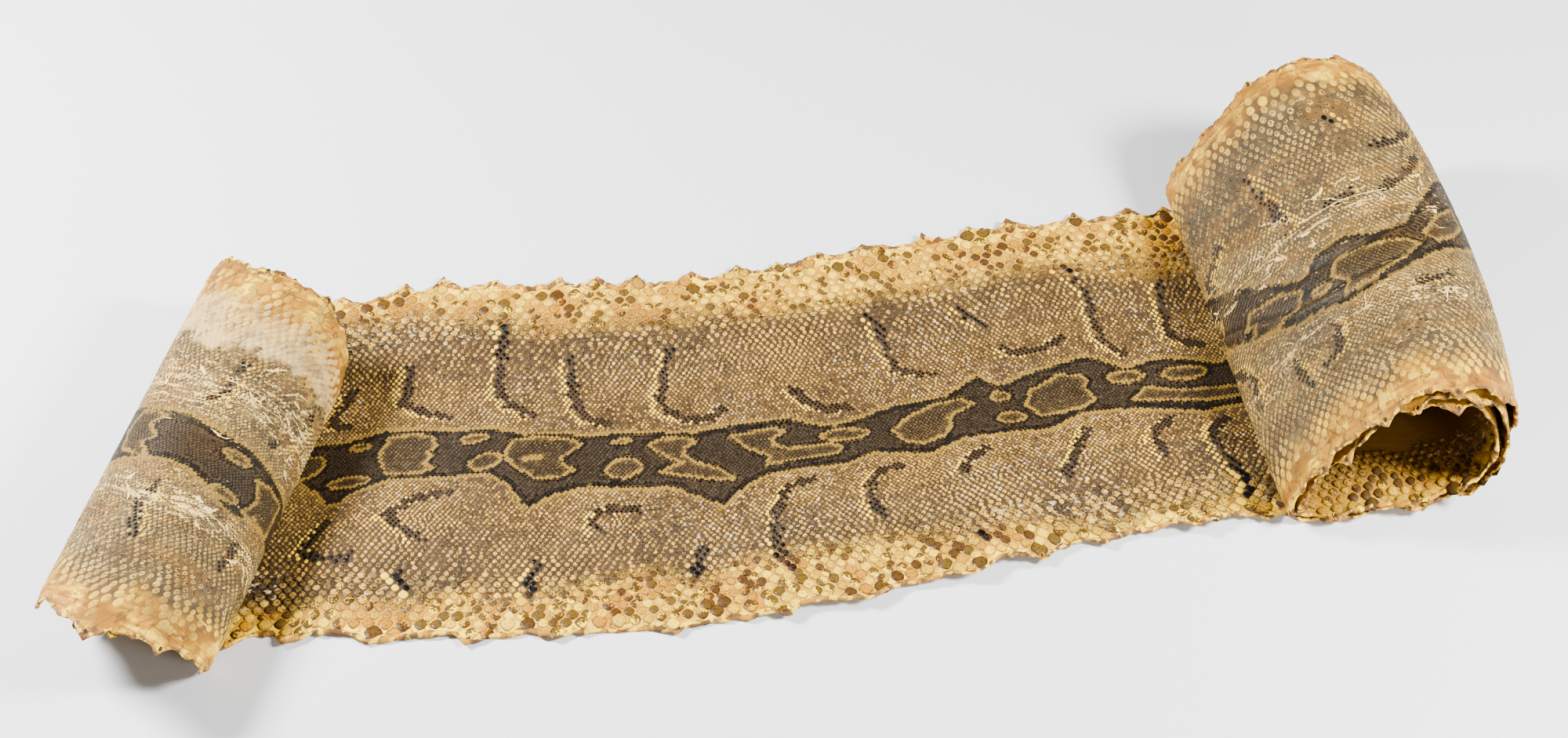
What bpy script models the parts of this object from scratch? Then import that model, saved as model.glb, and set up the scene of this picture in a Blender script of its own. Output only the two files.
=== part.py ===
"""A whole dried python hide, slit along the belly, with both ends rolled up.

The hide is one piece.  It starts as a flat grid, whose points are laid out by the
functions below and then carried round two loose rolls: a tall one at +X, wound square
across the hide, and a flatter one at -X, wound askew.  Solidify gives it its thickness.
The scales face up on the open stretch and inwards in the rolls.
"""

import math

import bmesh
import bpy
import numpy as np

# Driving dimensions, in metres and degrees.
THICKNESS = 0.0020        # dried hide with its scales
HALF_FAR = 0.126          # line along the back to the far edge, between pegs
HALF_NEAR = 0.212         # the same to the near edge
BELLY_SWELL = 0.045       # extra width at the snake's thickest part
PEG_HEIGHT = 0.009        # how far each peg drew the edge out into a point
COLUMN_PITCH = 0.015      # grid spacing along the hide
FAR_PEG_COLUMNS = 3       # columns from one peg to the next on the far edge
NEAR_PEG_COLUMNS = 4      # the same on the near edge
ROWS = 8                  # grid cells across the hide
ROLL_SKEW = 20.5          # angle of the left roll's axis from the cross direction
LEFT_FOLD = -0.374        # where the left roll starts
RIGHT_FOLD = 0.366        # where the right roll starts
LEFT_TURNS = 1.9
RIGHT_TURNS = 2.7
LEFT_SQUARE_FROM = 0.22   # length into the left roll after which it winds square
BARREL = 0.10             # how much slimmer the right roll is at its ends than in its middle
COCKLE = 0.006            # height of the drying waves along the near edge
MAX_BEND = 20.0           # largest turn from one grid column to the next, in degrees

# Outline of each roll's outer turn, counter-clockwise, seen from the near end.  Each
# starts where the hide leaves the flat stretch and runs outwards along the floor.
RIGHT_OUTLINE = [
    (0.000, 0.000), (0.060, 0.000), (0.125, 0.002), (0.172, 0.020), (0.190, 0.062),
    (0.176, 0.110), (0.138, 0.138), (0.088, 0.137), (0.044, 0.110), (0.006, 0.065),
    (-0.014, 0.022),
]
LEFT_OUTLINE = [
    (0.000, 0.000), (0.045, 0.000), (0.088, 0.004), (0.116, 0.026), (0.120, 0.060),
    (0.098, 0.088), (0.054, 0.096), (0.010, 0.078), (-0.014, 0.040), (-0.012, 0.010),
]
# Distance between one turn and the next at the floor, outer side, top and inner side.
RIGHT_GAPS = (0.0045, 0.0065, 0.0100, 0.0065)
LEFT_GAPS = (0.0045, 0.0060, 0.0075, 0.0060)

SKEW = math.radians(ROLL_SKEW)
LOOP_SAMPLES = 720


def smooth_step(x):
    """Ease from 0 to 1 as x goes from 0 to 1."""
    x = np.clip(x, 0.0, 1.0)
    return x * x * (3.0 - 2.0 * x)


def bell(x, centre, width):
    """A bump of height 1."""
    return np.exp(-((x - centre) / width) ** 2)


def closed_curve(points):
    """Even points round a smooth closed curve, with inward normals."""
    points = np.array(points)
    steps = np.linspace(0.0, 1.0, 24, endpoint=False)[:, None]
    spans = []
    for i in range(len(points)):
        p0, p1 = points[i - 1], points[i]
        p2, p3 = points[(i + 1) % len(points)], points[(i + 2) % len(points)]
        spans.append(0.5 * (2 * p1 + (p2 - p0) * steps
                            + (2 * p0 - 5 * p1 + 4 * p2 - p3) * steps ** 2
                            + (3 * p1 - p0 - 3 * p2 + p3) * steps ** 3))
    curve = np.vstack(spans + [points[:1]])
    travel = path_length(curve)
    even = np.linspace(0.0, travel[-1], LOOP_SAMPLES, endpoint=False)
    ring = np.stack([np.interp(even, travel, curve[:, k]) for k in (0, 1)], axis=1)
    for _ in range(6):
        ring = (np.roll(ring, 1, 0) + 2 * ring + np.roll(ring, -1, 0)) / 4
    along = np.roll(ring, -1, 0) - np.roll(ring, 1, 0)
    along /= np.linalg.norm(along, axis=1)[:, None]
    return ring, np.stack([-along[:, 1], along[:, 0]], axis=1)


def path_length(path):
    """Distance travelled at each point of a path."""
    return np.concatenate([[0.0], np.cumsum(np.linalg.norm(np.diff(path, axis=0), axis=1))])


def roll_profile(outline, gaps, turns):
    """A roll's cross-section: length along the hide, and position there."""
    ring, inward = closed_curve(outline)
    step = np.arange(int(turns * LOOP_SAMPLES) + 1)
    phase = (step % LOOP_SAMPLES) / LOOP_SAMPLES
    gap = np.interp(phase * len(gaps), range(len(gaps) + 1), list(gaps) + [gaps[0]])
    depth = gap * step / LOOP_SAMPLES
    path = ring[step % LOOP_SAMPLES] + inward[step % LOOP_SAMPLES] * depth[:, None]
    path -= path[0]
    path[:, 1] = np.maximum(path[:, 1], 0.0)
    return path_length(path), path


RIGHT_ROLL = roll_profile(RIGHT_OUTLINE, RIGHT_GAPS, RIGHT_TURNS)
LEFT_ROLL = roll_profile(LEFT_OUTLINE, LEFT_GAPS, LEFT_TURNS)
U_START = LEFT_FOLD - LEFT_ROLL[0][-1] / math.cos(SKEW)
U_END = RIGHT_FOLD + RIGHT_ROLL[0][-1]


def column_number(u):
    """Grid column at length u, with the uneven spacing of the pegs."""
    return u / COLUMN_PITCH + 0.45 * np.sin(37.0 * u) + 0.3 * np.sin(91.0 * u)


def points_between_pegs(u, columns, shift):
    """Height of the drawn-out points: 1 at a peg and 0 midway between two."""
    place = (column_number(u) + shift) / columns
    return np.abs(2.0 * (place - np.floor(place)) - 1.0) ** 2.6


def far_edge(u):
    """Distance across from the hide's datum line to its far edge."""
    flat = smooth_step((0.40 - np.abs(u)) / 0.06)
    wander = 0.012 * np.sin(9.0 * (u - 0.1)) * flat
    neck = 0.038 * smooth_step((u - 0.40) / 0.15) - 0.014 * smooth_step((u - 0.74) / 0.1)
    tail = 0.008 * smooth_step((-0.42 - u) / 0.1) - 0.032 * smooth_step((-0.66 - u) / 0.12)
    return HALF_FAR + wander + neck + tail + PEG_HEIGHT * points_between_pegs(u, FAR_PEG_COLUMNS, 0)


def near_edge(u):
    """Distance across from the datum line to the near edge, as a negative."""
    swell = BELLY_SWELL * bell(u, -0.06, 0.22)
    neck = 0.022 * bell(u, 0.53, 0.07) - 0.014 * smooth_step((u - 0.58) / 0.1)
    tail = 0.026 * bell(u, -0.50, 0.07) + 0.070 * smooth_step((-0.62 - u) / 0.24)
    return neck + tail - HALF_NEAR - swell - PEG_HEIGHT * points_between_pegs(u, NEAR_PEG_COLUMNS, 1)


def cockle(u, v):
    """Height of the drying waves, which lift the near edge off the floor in places."""
    waves = bell(u, 0.02, 0.035) + bell(u, 0.13, 0.045) + bell(u, 0.285, 0.04)
    return COCKLE * waves * smooth_step((-0.165 - v) / 0.06)


def skew_at(u):
    """Slant of the grid's columns: along the left roll's axis, then easing to square."""
    return math.tan(SKEW) * (1.0 - smooth_step((u + 0.30) / 0.45))


def lay(u, v):
    """Place the point at length u and distance v across on the lying hide."""
    x = u + v * skew_at(u)
    y = v
    z = cockle(u, v)

    beyond = u - RIGHT_FOLD
    barrel = 1.0 + BARREL * (0.5 - ((v - 0.02) / 0.2) ** 2)
    right_x = RIGHT_FOLD + barrel * np.interp(beyond, RIGHT_ROLL[0], RIGHT_ROLL[1][:, 0])
    right_z = np.interp(beyond, RIGHT_ROLL[0], RIGHT_ROLL[1][:, 1])

    beyond = (LEFT_FOLD - u) * math.cos(SKEW)
    out = -LEFT_FOLD * math.cos(SKEW) + np.interp(beyond, LEFT_ROLL[0], LEFT_ROLL[1][:, 0])
    squared = math.tan(SKEW) * np.maximum(beyond - LEFT_SQUARE_FROM, 0.0)
    axial = math.sin(SKEW) * u + v / math.cos(SKEW) + squared
    left_x = math.sin(SKEW) * axial - math.cos(SKEW) * out
    left_y = math.cos(SKEW) * axial + math.sin(SKEW) * out
    left_z = np.interp(beyond, LEFT_ROLL[0], LEFT_ROLL[1][:, 1])

    right, left = u > RIGHT_FOLD, u < LEFT_FOLD
    x = np.where(right, right_x, np.where(left, left_x, x))
    y = np.where(left, left_y, y)
    z = np.where(right, right_z, np.where(left, left_z, z))
    return x, y, z


def column_places():
    """Lengths of the grid's columns: every column number, and more where it bends."""
    fine = np.linspace(U_START, U_END, 40000)
    numbers = column_number(fine)
    whole = np.arange(math.ceil(numbers[0]), math.floor(numbers[-1]) + 1)
    places = np.concatenate([[U_START], np.interp(whole, numbers, fine), [U_END]])
    x, _, z = lay(fine, np.zeros_like(fine))
    heading = np.unwrap(np.arctan2(np.gradient(z), np.gradient(x)))
    turned = path_length(heading[:, None])
    columns = [places[:1]]
    for start, end in zip(places[:-1], places[1:]):
        bend = math.degrees(np.interp(end, fine, turned) - np.interp(start, fine, turned))
        pieces = max(1, math.ceil(bend / MAX_BEND))
        columns.append(np.linspace(start, end, pieces + 1)[1:])
    return np.concatenate(columns)


def make_material():
    """Tan, matt, scaly hide."""
    material = bpy.data.materials.new("hide")
    material.use_nodes = True
    shader = material.node_tree.nodes["Principled BSDF"]
    shader.inputs["Base Color"].default_value = (0.42, 0.30, 0.17, 1.0)
    shader.inputs["Roughness"].default_value = 0.55
    shader.inputs["Metallic"].default_value = 0.0
    return material


def make_skin(collection):
    """The hide: a flat grid, laid out and rolled, then thickened on the scale side."""
    columns = column_places()
    grid = bmesh.new()
    bmesh.ops.create_grid(grid, x_segments=len(columns) - 1, y_segments=ROWS, size=1.0)
    for vert in grid.verts:
        column = round((vert.co.x + 1.0) / 2.0 * (len(columns) - 1))
        across = (vert.co.y + 1.0) / 2.0
        u = columns[column]
        v = near_edge(u) + across * (far_edge(u) - near_edge(u))
        vert.co = [float(value) for value in lay(u, v)]
    mesh = bpy.data.meshes.new("skin")
    grid.to_mesh(mesh)
    grid.free()
    mesh.materials.append(make_material())

    skin = bpy.data.objects.new("skin", mesh)
    collection.objects.link(skin)
    thickness = skin.modifiers.new("thickness", "SOLIDIFY")
    thickness.thickness = THICKNESS
    thickness.offset = 1.0
    return skin


def stand_on_origin(skin):
    """Put the middle of the skin's underside on the origin."""
    bpy.context.view_layer.update()
    solid = skin.evaluated_get(bpy.context.evaluated_depsgraph_get())
    corners = np.array(solid.bound_box)
    middle = (corners.min(axis=0) + corners.max(axis=0)) / 2.0
    skin.location = (-middle[0], -middle[1], -corners[:, 2].min())


def main():
    for item in list(bpy.data.objects):
        bpy.data.objects.remove(item, do_unlink=True)
    collection = bpy.data.collections.new("Rolled snake skin")
    bpy.context.scene.collection.children.link(collection)
    skin = make_skin(collection)
    stand_on_origin(skin)


main()
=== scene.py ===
"""Looks of a whole dried python hide, slit along the belly, with both ends rolled up.

The hide is laid out with the same two coordinates as its solid: u runs along it and v
across it.  Leather sheets carry its thickness, wrinkles and curled rim.  Every scale is
placed on a lattice that grows coarser from the back to the belly, and the markings are
worked out scale by scale.
"""

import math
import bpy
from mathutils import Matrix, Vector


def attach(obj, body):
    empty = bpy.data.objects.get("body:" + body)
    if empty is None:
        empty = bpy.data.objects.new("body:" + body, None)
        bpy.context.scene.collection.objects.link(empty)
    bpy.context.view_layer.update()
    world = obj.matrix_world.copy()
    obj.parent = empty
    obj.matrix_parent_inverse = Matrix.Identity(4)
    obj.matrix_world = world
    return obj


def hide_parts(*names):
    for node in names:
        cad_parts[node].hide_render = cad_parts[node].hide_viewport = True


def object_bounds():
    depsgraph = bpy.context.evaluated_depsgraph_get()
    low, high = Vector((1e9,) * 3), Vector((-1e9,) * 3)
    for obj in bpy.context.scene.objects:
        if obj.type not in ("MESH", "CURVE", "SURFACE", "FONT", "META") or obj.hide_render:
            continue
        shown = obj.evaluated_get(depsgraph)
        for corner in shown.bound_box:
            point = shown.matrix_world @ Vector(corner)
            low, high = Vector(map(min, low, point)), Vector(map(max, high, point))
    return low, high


bl_info = {
    "name": "Rolled Snake Skin",
    "version": (1, 0, 0),
    "blender": (4, 5, 0),
    "location": "View3D > Sidebar > Snake Skin",
    "description": "Builds the leather, scales, rim and stage of a rolled snake skin",
    "category": "Object",
}

import bmesh
import bpy
import numpy as np
from bpy.props import FloatProperty, FloatVectorProperty, PointerProperty
from mathutils import Vector

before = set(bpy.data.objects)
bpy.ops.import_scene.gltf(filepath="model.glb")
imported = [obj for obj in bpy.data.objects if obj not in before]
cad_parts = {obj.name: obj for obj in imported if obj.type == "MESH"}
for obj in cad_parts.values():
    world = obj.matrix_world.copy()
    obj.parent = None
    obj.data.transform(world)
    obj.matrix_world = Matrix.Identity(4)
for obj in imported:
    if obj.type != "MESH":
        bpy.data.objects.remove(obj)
CAD_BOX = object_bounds()

# Layout of the hide, in metres and degrees, the same as its solid has.
HALF_FAR = 0.126
HALF_NEAR = 0.212
BELLY_SWELL = 0.045
PEG_HEIGHT = 0.009
COLUMN_PITCH = 0.015
FAR_PEG_COLUMNS = 3
NEAR_PEG_COLUMNS = 4
ROLL_SKEW = 20.5
LEFT_FOLD = -0.374
RIGHT_FOLD = 0.366
LEFT_TURNS = 1.9
RIGHT_TURNS = 2.7
LEFT_SQUARE_FROM = 0.22
BARREL = 0.10
COCKLE = 0.006
LOOP_SAMPLES = 720
RIGHT_OUTLINE = [
    (0.000, 0.000), (0.060, 0.000), (0.125, 0.002), (0.172, 0.020), (0.190, 0.062),
    (0.176, 0.110), (0.138, 0.138), (0.088, 0.137), (0.044, 0.110), (0.006, 0.065),
    (-0.014, 0.022),
]
LEFT_OUTLINE = [
    (0.000, 0.000), (0.045, 0.000), (0.088, 0.004), (0.116, 0.026), (0.120, 0.060),
    (0.098, 0.088), (0.054, 0.096), (0.010, 0.078), (-0.014, 0.040), (-0.012, 0.010),
]
RIGHT_GAPS = (0.0045, 0.0065, 0.0100, 0.0065)
LEFT_GAPS = (0.0045, 0.0060, 0.0075, 0.0060)
SKEW = math.radians(ROLL_SKEW)

# Middle of the snake's back, as (u, v) in millimetres.
BACK_LINE = [
    (-1080, -50), (-730, -52), (-660, -48), (-600, -41), (-450, -48), (-369, -54),
    (-290, -55), (-200, -74), (-100, -86), (0, -88), (110, -82), (200, -68),
    (300, -66), (450, -55), (540, -20), (600, 0), (650, -20), (680, -50), (710, -72),
    (760, -77), (800, -73), (840, -50), (870, -32), (905, -12), (1000, -30), (1710, -45),
]

# Gold lines along both sides of the dark band on the back, as (u, v) in millimetres.
UPPER_LINE = [
    (-1080, -25), (-760, -30), (-729, -31), (-688, -25), (-647, -23), (-612, -14),
    (-588, -19), (-470, -20), (-350, -32), (-319, -23), (-294, -25), (-250, -32),
    (-228, -34), (-200, -46), (-169, -49), (-155, -53), (-120, -54), (-70, -61),
    (-35, -57), (0, -58), (22, -67), (36, -70), (80, -56), (124, -52), (144, -38),
    (155, -32), (169, -46), (202, -34), (247, -25), (277, -42), (299, -35),
    (324, -36), (349, -45), (450, -28), (540, 6), (600, 32), (630, 34),
    (652, 16), (677, -17), (697, -43), (725, -49), (745, -40), (770, -45), (787, -58),
    (807, -44), (825, -30), (845, -14), (865, -3), (890, 18), (1000, -8), (1710, -20),
]
LOWER_LINE = [
    (-1080, -75), (-760, -74), (-726, -72), (-703, -69), (-688, -82), (-673, -81),
    (-635, -64), (-609, -61), (-565, -75), (-470, -72), (-369, -71), (-349, -85),
    (-338, -99), (-326, -99), (-321, -90), (-294, -79), (-253, -84), (-219, -88),
    (-200, -104), (-186, -125), (-179, -129), (-164, -118), (-142, -111),
    (-111, -116), (-81, -120), (-58, -138), (-46, -146), (-31, -127), (-17, -118),
    (41, -116), (61, -107), (102, -116), (130, -104), (199, -104), (230, -88),
    (272, -89), (327, -99), (349, -97), (450, -84), (540, -50), (600, -32), (647, -65),
    (680, -80), (710, -97), (737, -105), (760, -108), (780, -100), (803, -97),
    (833, -83), (860, -67), (890, -47), (1000, -55), (1710, -70),
]

# Gold-edged blotches inside the band, in millimetres: outlines of (u, v), then pointed
# ovals as (centre u, centre v, half length, half width).
BLOTCHES = [
    [(-385, -41), (-358, -46), (-354, -56), (-362, -66), (-385, -67)],
    [(-310, -32), (-289, -31), (-276, -36), (-269, -46), (-274, -52), (-269, -57),
     (-274, -64), (-264, -71), (-272, -74), (-300, -72), (-312, -52)],
    [(-208, -52), (-189, -52), (-167, -56), (-154, -63), (-161, -72), (-167, -78),
     (-161, -88), (-154, -92), (-164, -99), (-181, -99), (-198, -84), (-210, -70)],
    [(-104, -70), (-94, -65), (-81, -66), (-68, -72), (-76, -78), (-78, -85),
     (-67, -95), (-53, -103), (-40, -117), (-57, -114), (-81, -105), (-93, -101),
     (-76, -93), (-89, -85)],
    [(-43, -71), (-11, -67), (-3, -72), (-14, -79), (-11, -85), (0, -91), (30, -91),
     (39, -96), (33, -102), (-17, -105), (-15, -96), (-31, -85)],
    [(91, -71), (113, -61), (136, -57), (144, -64), (122, -77), (123, -85),
     (116, -96), (99, -102), (86, -98), (78, -84)],
    [(194, -56), (219, -43), (236, -46), (241, -52), (237, -57), (243, -73),
     (230, -81), (213, -84), (197, -86), (186, -72)],
    [(380, -75), (313, -73), (288, -66), (273, -78), (288, -80), (333, -86), (380, -85)],
    [(700, -64), (733, -61), (757, -62), (764, -73), (752, -87), (758, -97), (735, -96),
     (708, -84), (690, -68)],
    [(790, -70), (808, -58), (843, -49), (850, -60), (838, -66), (850, -73), (826, -83),
     (800, -82)],
    [(640, -12), (662, -30), (684, -56), (676, -66), (655, -52), (636, -30)],
    [(872, -28), (900, -8), (920, -10), (905, -30), (880, -48)],
    [(-727, -39), (-705, -38), (-691, -42), (-700, -56), (-691, -72), (-705, -74),
     (-727, -70)],
    [(-600, -22), (-586, -34), (-598, -44), (-588, -52), (-600, -66), (-570, -62),
     (-562, -44), (-572, -24)],
]
LENSES = [
    (-331, -39, 8, 3), (-328, -76, 17, 5), (-240, -44, 10, 4.5), (-224, -73, 12, 9),
    (-188, -76, 7, 2), (-124, -64, 7, 2), (-119, -93, 13, 10), (41, -82, 18, 6),
    (168, -59, 8, 5), (172, -85, 11, 6), (273, -52, 15, 6), (322, -54, 19, 7),
    (-667, -37, 12, 4), (-670, -70, 12, 4), (776, -80, 9, 3),
]

# Dark strokes on the flanks, as (u, v) in millimetres.
FLANK_STROKES = [
    [(-358, 23), (-364, -10), (-350, -16)],
    [(-317, 45), (-314, 20), (-312, 5), (-290, -8), (-268, -16)],
    [(-250, 80), (-243, 45), (-234, 5), (-222, -10), (-200, -26)],
    [(-182, 32), (-171, -5), (-164, -24), (-153, -37), (-136, -43)],
    [(-97, 35), (-100, -16), (-94, -35), (-78, -47), (-56, -49), (-50, -40)],
    [(5, -29), (16, -43), (30, -53), (47, -53)],
    [(80, 48), (88, -4), (91, -17), (102, -22), (116, -24)],
    [(155, 47), (169, 23)],
    [(181, -4), (186, -12), (202, -15), (216, -12), (230, -5)],
    [(250, 79), (263, 46), (262, 0), (266, -13), (280, -27)],
    [(330, 57), (324, 40), (322, -10), (330, -18), (347, -24)],
    [(-330, -118), (-342, -143), (-325, -153), (-297, -157)],
    [(-242, -102), (-267, -102), (-286, -117), (-270, -131), (-250, -147)],
    [(-103, -138), (-122, -133), (-132, -139), (-132, -149), (-126, -157)],
    [(13, -129), (-3, -135), (-12, -163), (-12, -193), (-6, -220)],
    [(77, -124), (63, -128), (55, -138), (51, -154), (58, -177)],
    [(147, -116), (130, -127), (122, -140)],
    [(230, -106), (219, -121), (202, -154)],
    [(299, -102), (283, -113), (280, -124), (286, -143)],
    [(341, -110), (329, -118), (327, -132), (341, -177), (338, -196)],
    [(-258, -177), (-244, -196)], [(-164, -179), (-167, -199), (-164, -216)],
    [(-58, -185), (-64, -210)], [(119, -207), (136, -218)],
    [(655, 76), (672, 60), (692, 50)], [(660, 40), (675, 20), (690, 5), (704, -3)],
    [(640, 26), (664, -4), (680, -26)], [(728, 2), (752, -6)],
    [(800, 76), (796, 50), (789, 30), (784, 10), (780, -2), (794, -10)],
    [(846, 36), (860, 26), (874, 18), (866, 2)], [(720, 96), (716, 84)],
    [(905, -68), (876, -84), (862, -106), (866, -130)], [(676, -104), (702, -112)],
    [(774, -122), (778, -145), (792, -150)], [(820, -128), (812, -156)],
    [(560, 70), (566, 40)], [(600, -80), (604, -120), (596, -150)],
    [(500, 60), (508, 20), (520, 4)], [(480, -110), (490, -140), (484, -170)],
    [(-715, 40), (-706, 10), (-690, -8)], [(-640, 44), (-634, 12), (-622, -2)],
    [(-700, -98), (-694, -122)], [(-618, -84), (-612, -110), (-622, -130)],
]
# Lengths along the hide: where the open stretch's leather and scales stop, where the cells
# of the rolls start, and where the outermost turn of each roll ends.
LEATHER_FROM, LEATHER_TO = -0.415, 0.405
SCALES_FROM, SCALES_TO, BELLY_TO = -0.43, 0.42, 0.46
LEFT_CELLS_FROM, RIGHT_CELLS_FROM = -0.42, 0.44
LEFT_OUTER_END, RIGHT_OUTER_END = -0.81, 0.93

# Half the hide's width that the lattice of scales is spaced for.
LATTICE_HALF = 0.19

# Distance from the edge to the middle of each peg hole.
PEG_INSET = 0.0042

# Soft swells of the open stretch: height, then place and width along u and along v.
SWELLS = [
    (0.9, -0.20, 0.05, -0.10, 0.05), (0.8, -0.02, 0.045, 0.02, 0.06),
    (1.0, 0.15, 0.06, -0.15, 0.05), (0.8, 0.24, 0.05, 0.03, 0.06),
    (0.7, 0.02, 0.05, -0.16, 0.05), (0.6, -0.30, 0.05, -0.14, 0.05),
]


def length_setting(name, description, default, low, high):
    """A length that the user can change."""
    return FloatProperty(name=name, description=description, default=default,
                         min=low, max=high, unit="LENGTH")


def power_setting(name, description, default):
    """A light's power that the user can change."""
    return FloatProperty(name=name, description=description, default=default,
                         min=0.0, max=400.0, unit="POWER")


def colour(name, description, default):
    """A colour that the user can change."""
    return FloatVectorProperty(
        name=name, description=description, subtype="COLOR", size=3, min=0.0, max=1.0,
        default=default)


class HideSizes(bpy.types.PropertyGroup):
    leather: length_setting("Leather", "Thickness of the dried hide between the scales",
                            0.0013, 0.0005, 0.002)
    grid: length_setting("Sheet grid", "Spacing of the leather sheets' points", 0.0027, 0.002, 0.01)
    back_row: length_setting("Back row", "Spacing of the scale rows along the back",
                             0.0023, 0.0015, 0.005)
    belly_row: length_setting("Belly row", "Spacing of the scale rows at the edges",
                              0.0105, 0.003, 0.015)
    back_pitch: length_setting("Back pitch", "Distance from scale to scale along the back",
                               0.0034, 0.002, 0.01)
    belly_pitch: length_setting("Belly pitch", "Distance from scale to scale at the edges",
                                0.0125, 0.005, 0.02)
    wrinkle: length_setting("Margin wrinkles", "Height of the dried wrinkles along the edges",
                            0.0014, 0.0, 0.003)
    swell: length_setting("Swells", "Height of the soft swells of the open stretch",
                          0.0075, 0.0, 0.012)
    crust: length_setting("Rim crust", "Radius of the dried crust along the cut edge",
                          0.0026, 0.0005, 0.003)
    peg_hole: length_setting("Peg hole", "Radius of the holes left by the drying pegs",
                             0.0016, 0.0005, 0.003)


class HideColours(bpy.types.PropertyGroup):
    tan_pale: colour("Pale tan", "Palest flank scales", (0.58, 0.315, 0.040))
    tan_deep: colour("Deep tan", "Darkest flank scales", (0.062, 0.037, 0.015))
    grout: colour("Skin between scales", "Skin between the flank scales", (0.054, 0.030, 0.012))
    # Also the painted shade that darkens the rim of each scale.
    grout_back: colour("Skin on the back", "Skin between the back's scales", (0.011, 0.007, 0.0035))
    grout_edge: colour("Skin at the edges", "Skin between the belly scales", (0.54, 0.25, 0.008))
    black: colour("Black-brown", "Borders of the band and flank strokes", (0.0025, 0.0018, 0.0011))
    brown: colour("Band brown", "Field of the band on the back", (0.036, 0.0225, 0.0105))
    gold: colour("Gold", "Lines and blotch outlines", (0.27, 0.155, 0.018))
    cream: colour("Cream", "Belly scales", (0.98, 0.60, 0.010))
    yellow: colour("Yellow", "Stained belly scales", (0.46, 0.185, 0.0006))
    stain: colour("Brown stain", "Brown halves of the belly scales", (0.040, 0.017, 0.006))
    # Also the painted shade round the rim of each cell.
    flesh: colour("Flesh side", "Flesh side between its cells", (0.056, 0.036, 0.017))
    cell_pale: colour("Pale cells", "Palest cells of the flesh side", (0.47, 0.295, 0.060))
    cell_deep: colour("Deep cells", "Darkest cells of the flesh side", (0.060, 0.040, 0.018))
    flesh_grey: colour("Grey membrane", "Bare membrane of the flesh side", (0.58, 0.395, 0.150))
    flesh_edge: colour("Peach margin", "Dried margin of the flesh side", (0.40, 0.170, 0.006))
    slate: colour("Slate", "Dark patches of the grey membrane", (0.090, 0.074, 0.056))
    # Painted highlight: silvery glints painted on the scales where light would catch them.
    glint_silver: colour("Silver", "Dry shine on the scales", (0.66, 0.50, 0.27))
    rust: colour("Rust", "Rusty patches of the margins", (0.20, 0.078, 0.006))
    membrane: colour("White membrane", "Torn shreds of membrane", (0.90, 0.62, 0.20))
    # Painted glow: amber stands in for light shining through the layered hide deep inside the rolls;
    # it also tints the darker belly scales.
    amber: colour("Amber", "Depth of the rolls", (0.25, 0.118, 0.007))
    rim: colour("Rim", "Crust along the cut edge", (0.085, 0.038, 0.010))
    # Painted shade: colour of the plug that stands in for the shadowed inside of each peg hole.
    hole_shade: colour("Peg hole", "Inside of the peg holes", (0.02, 0.008, 0.004))


class StageSettings(bpy.types.PropertyGroup):
    floor: colour("Floor", "Pale plain floor", (0.66, 0.67, 0.68))
    key: power_setting("Key light", "Power of the soft light from the right", 165.0)
    fill: power_setting("Fill light", "Power of the soft light from the left", 170.0)
    front: power_setting("Front light", "Power of the weak light that looks into the right roll", 26.0)
    sky: FloatProperty(
        name="Room light", description="Strength of the even light all round",
        default=0.16, min=0.0, max=3.0)


def smooth_step(x):
    """Ease from 0 to 1 as x goes from 0 to 1."""
    x = np.clip(x, 0.0, 1.0)
    return x * x * (3.0 - 2.0 * x)


def bell(x, centre, width):
    """A bump of height 1."""
    return np.exp(-((x - centre) / width) ** 2)


def field(x, y, size, seed):
    """Smooth random field from 0 to 1, with its bumps about size apart."""
    table = np.random.default_rng(seed).random((61, 67))
    x, y = np.asarray(x) / size, np.asarray(y) / size
    i, j = np.floor(x).astype(int), np.floor(y).astype(int)
    s, t = smooth_step(x - i), smooth_step(y - j)
    near = table[i % 61, j % 67] * (1 - s) + table[(i + 1) % 61, j % 67] * s
    far = table[i % 61, (j + 1) % 67] * (1 - s) + table[(i + 1) % 61, (j + 1) % 67] * s
    return near * (1 - t) + far * t


def path_length(path):
    """Distance travelled at each point of a path."""
    return np.concatenate([[0.0], np.cumsum(np.linalg.norm(np.diff(path, axis=0), axis=1))])


def closed_curve(points):
    """Even points round a smooth closed curve, with inward normals."""
    points = np.array(points)
    steps = np.linspace(0.0, 1.0, 24, endpoint=False)[:, None]
    spans = []
    for i in range(len(points)):
        p0, p1 = points[i - 1], points[i]
        p2, p3 = points[(i + 1) % len(points)], points[(i + 2) % len(points)]
        spans.append(0.5 * (2 * p1 + (p2 - p0) * steps
                            + (2 * p0 - 5 * p1 + 4 * p2 - p3) * steps ** 2
                            + (3 * p1 - p0 - 3 * p2 + p3) * steps ** 3))
    curve = np.vstack(spans + [points[:1]])
    travel = path_length(curve)
    even = np.linspace(0.0, travel[-1], LOOP_SAMPLES, endpoint=False)
    ring = np.stack([np.interp(even, travel, curve[:, k]) for k in (0, 1)], axis=1)
    for _ in range(6):
        ring = (np.roll(ring, 1, 0) + 2 * ring + np.roll(ring, -1, 0)) / 4
    along = np.roll(ring, -1, 0) - np.roll(ring, 1, 0)
    along /= np.linalg.norm(along, axis=1)[:, None]
    return ring, np.stack([-along[:, 1], along[:, 0]], axis=1)


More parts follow.
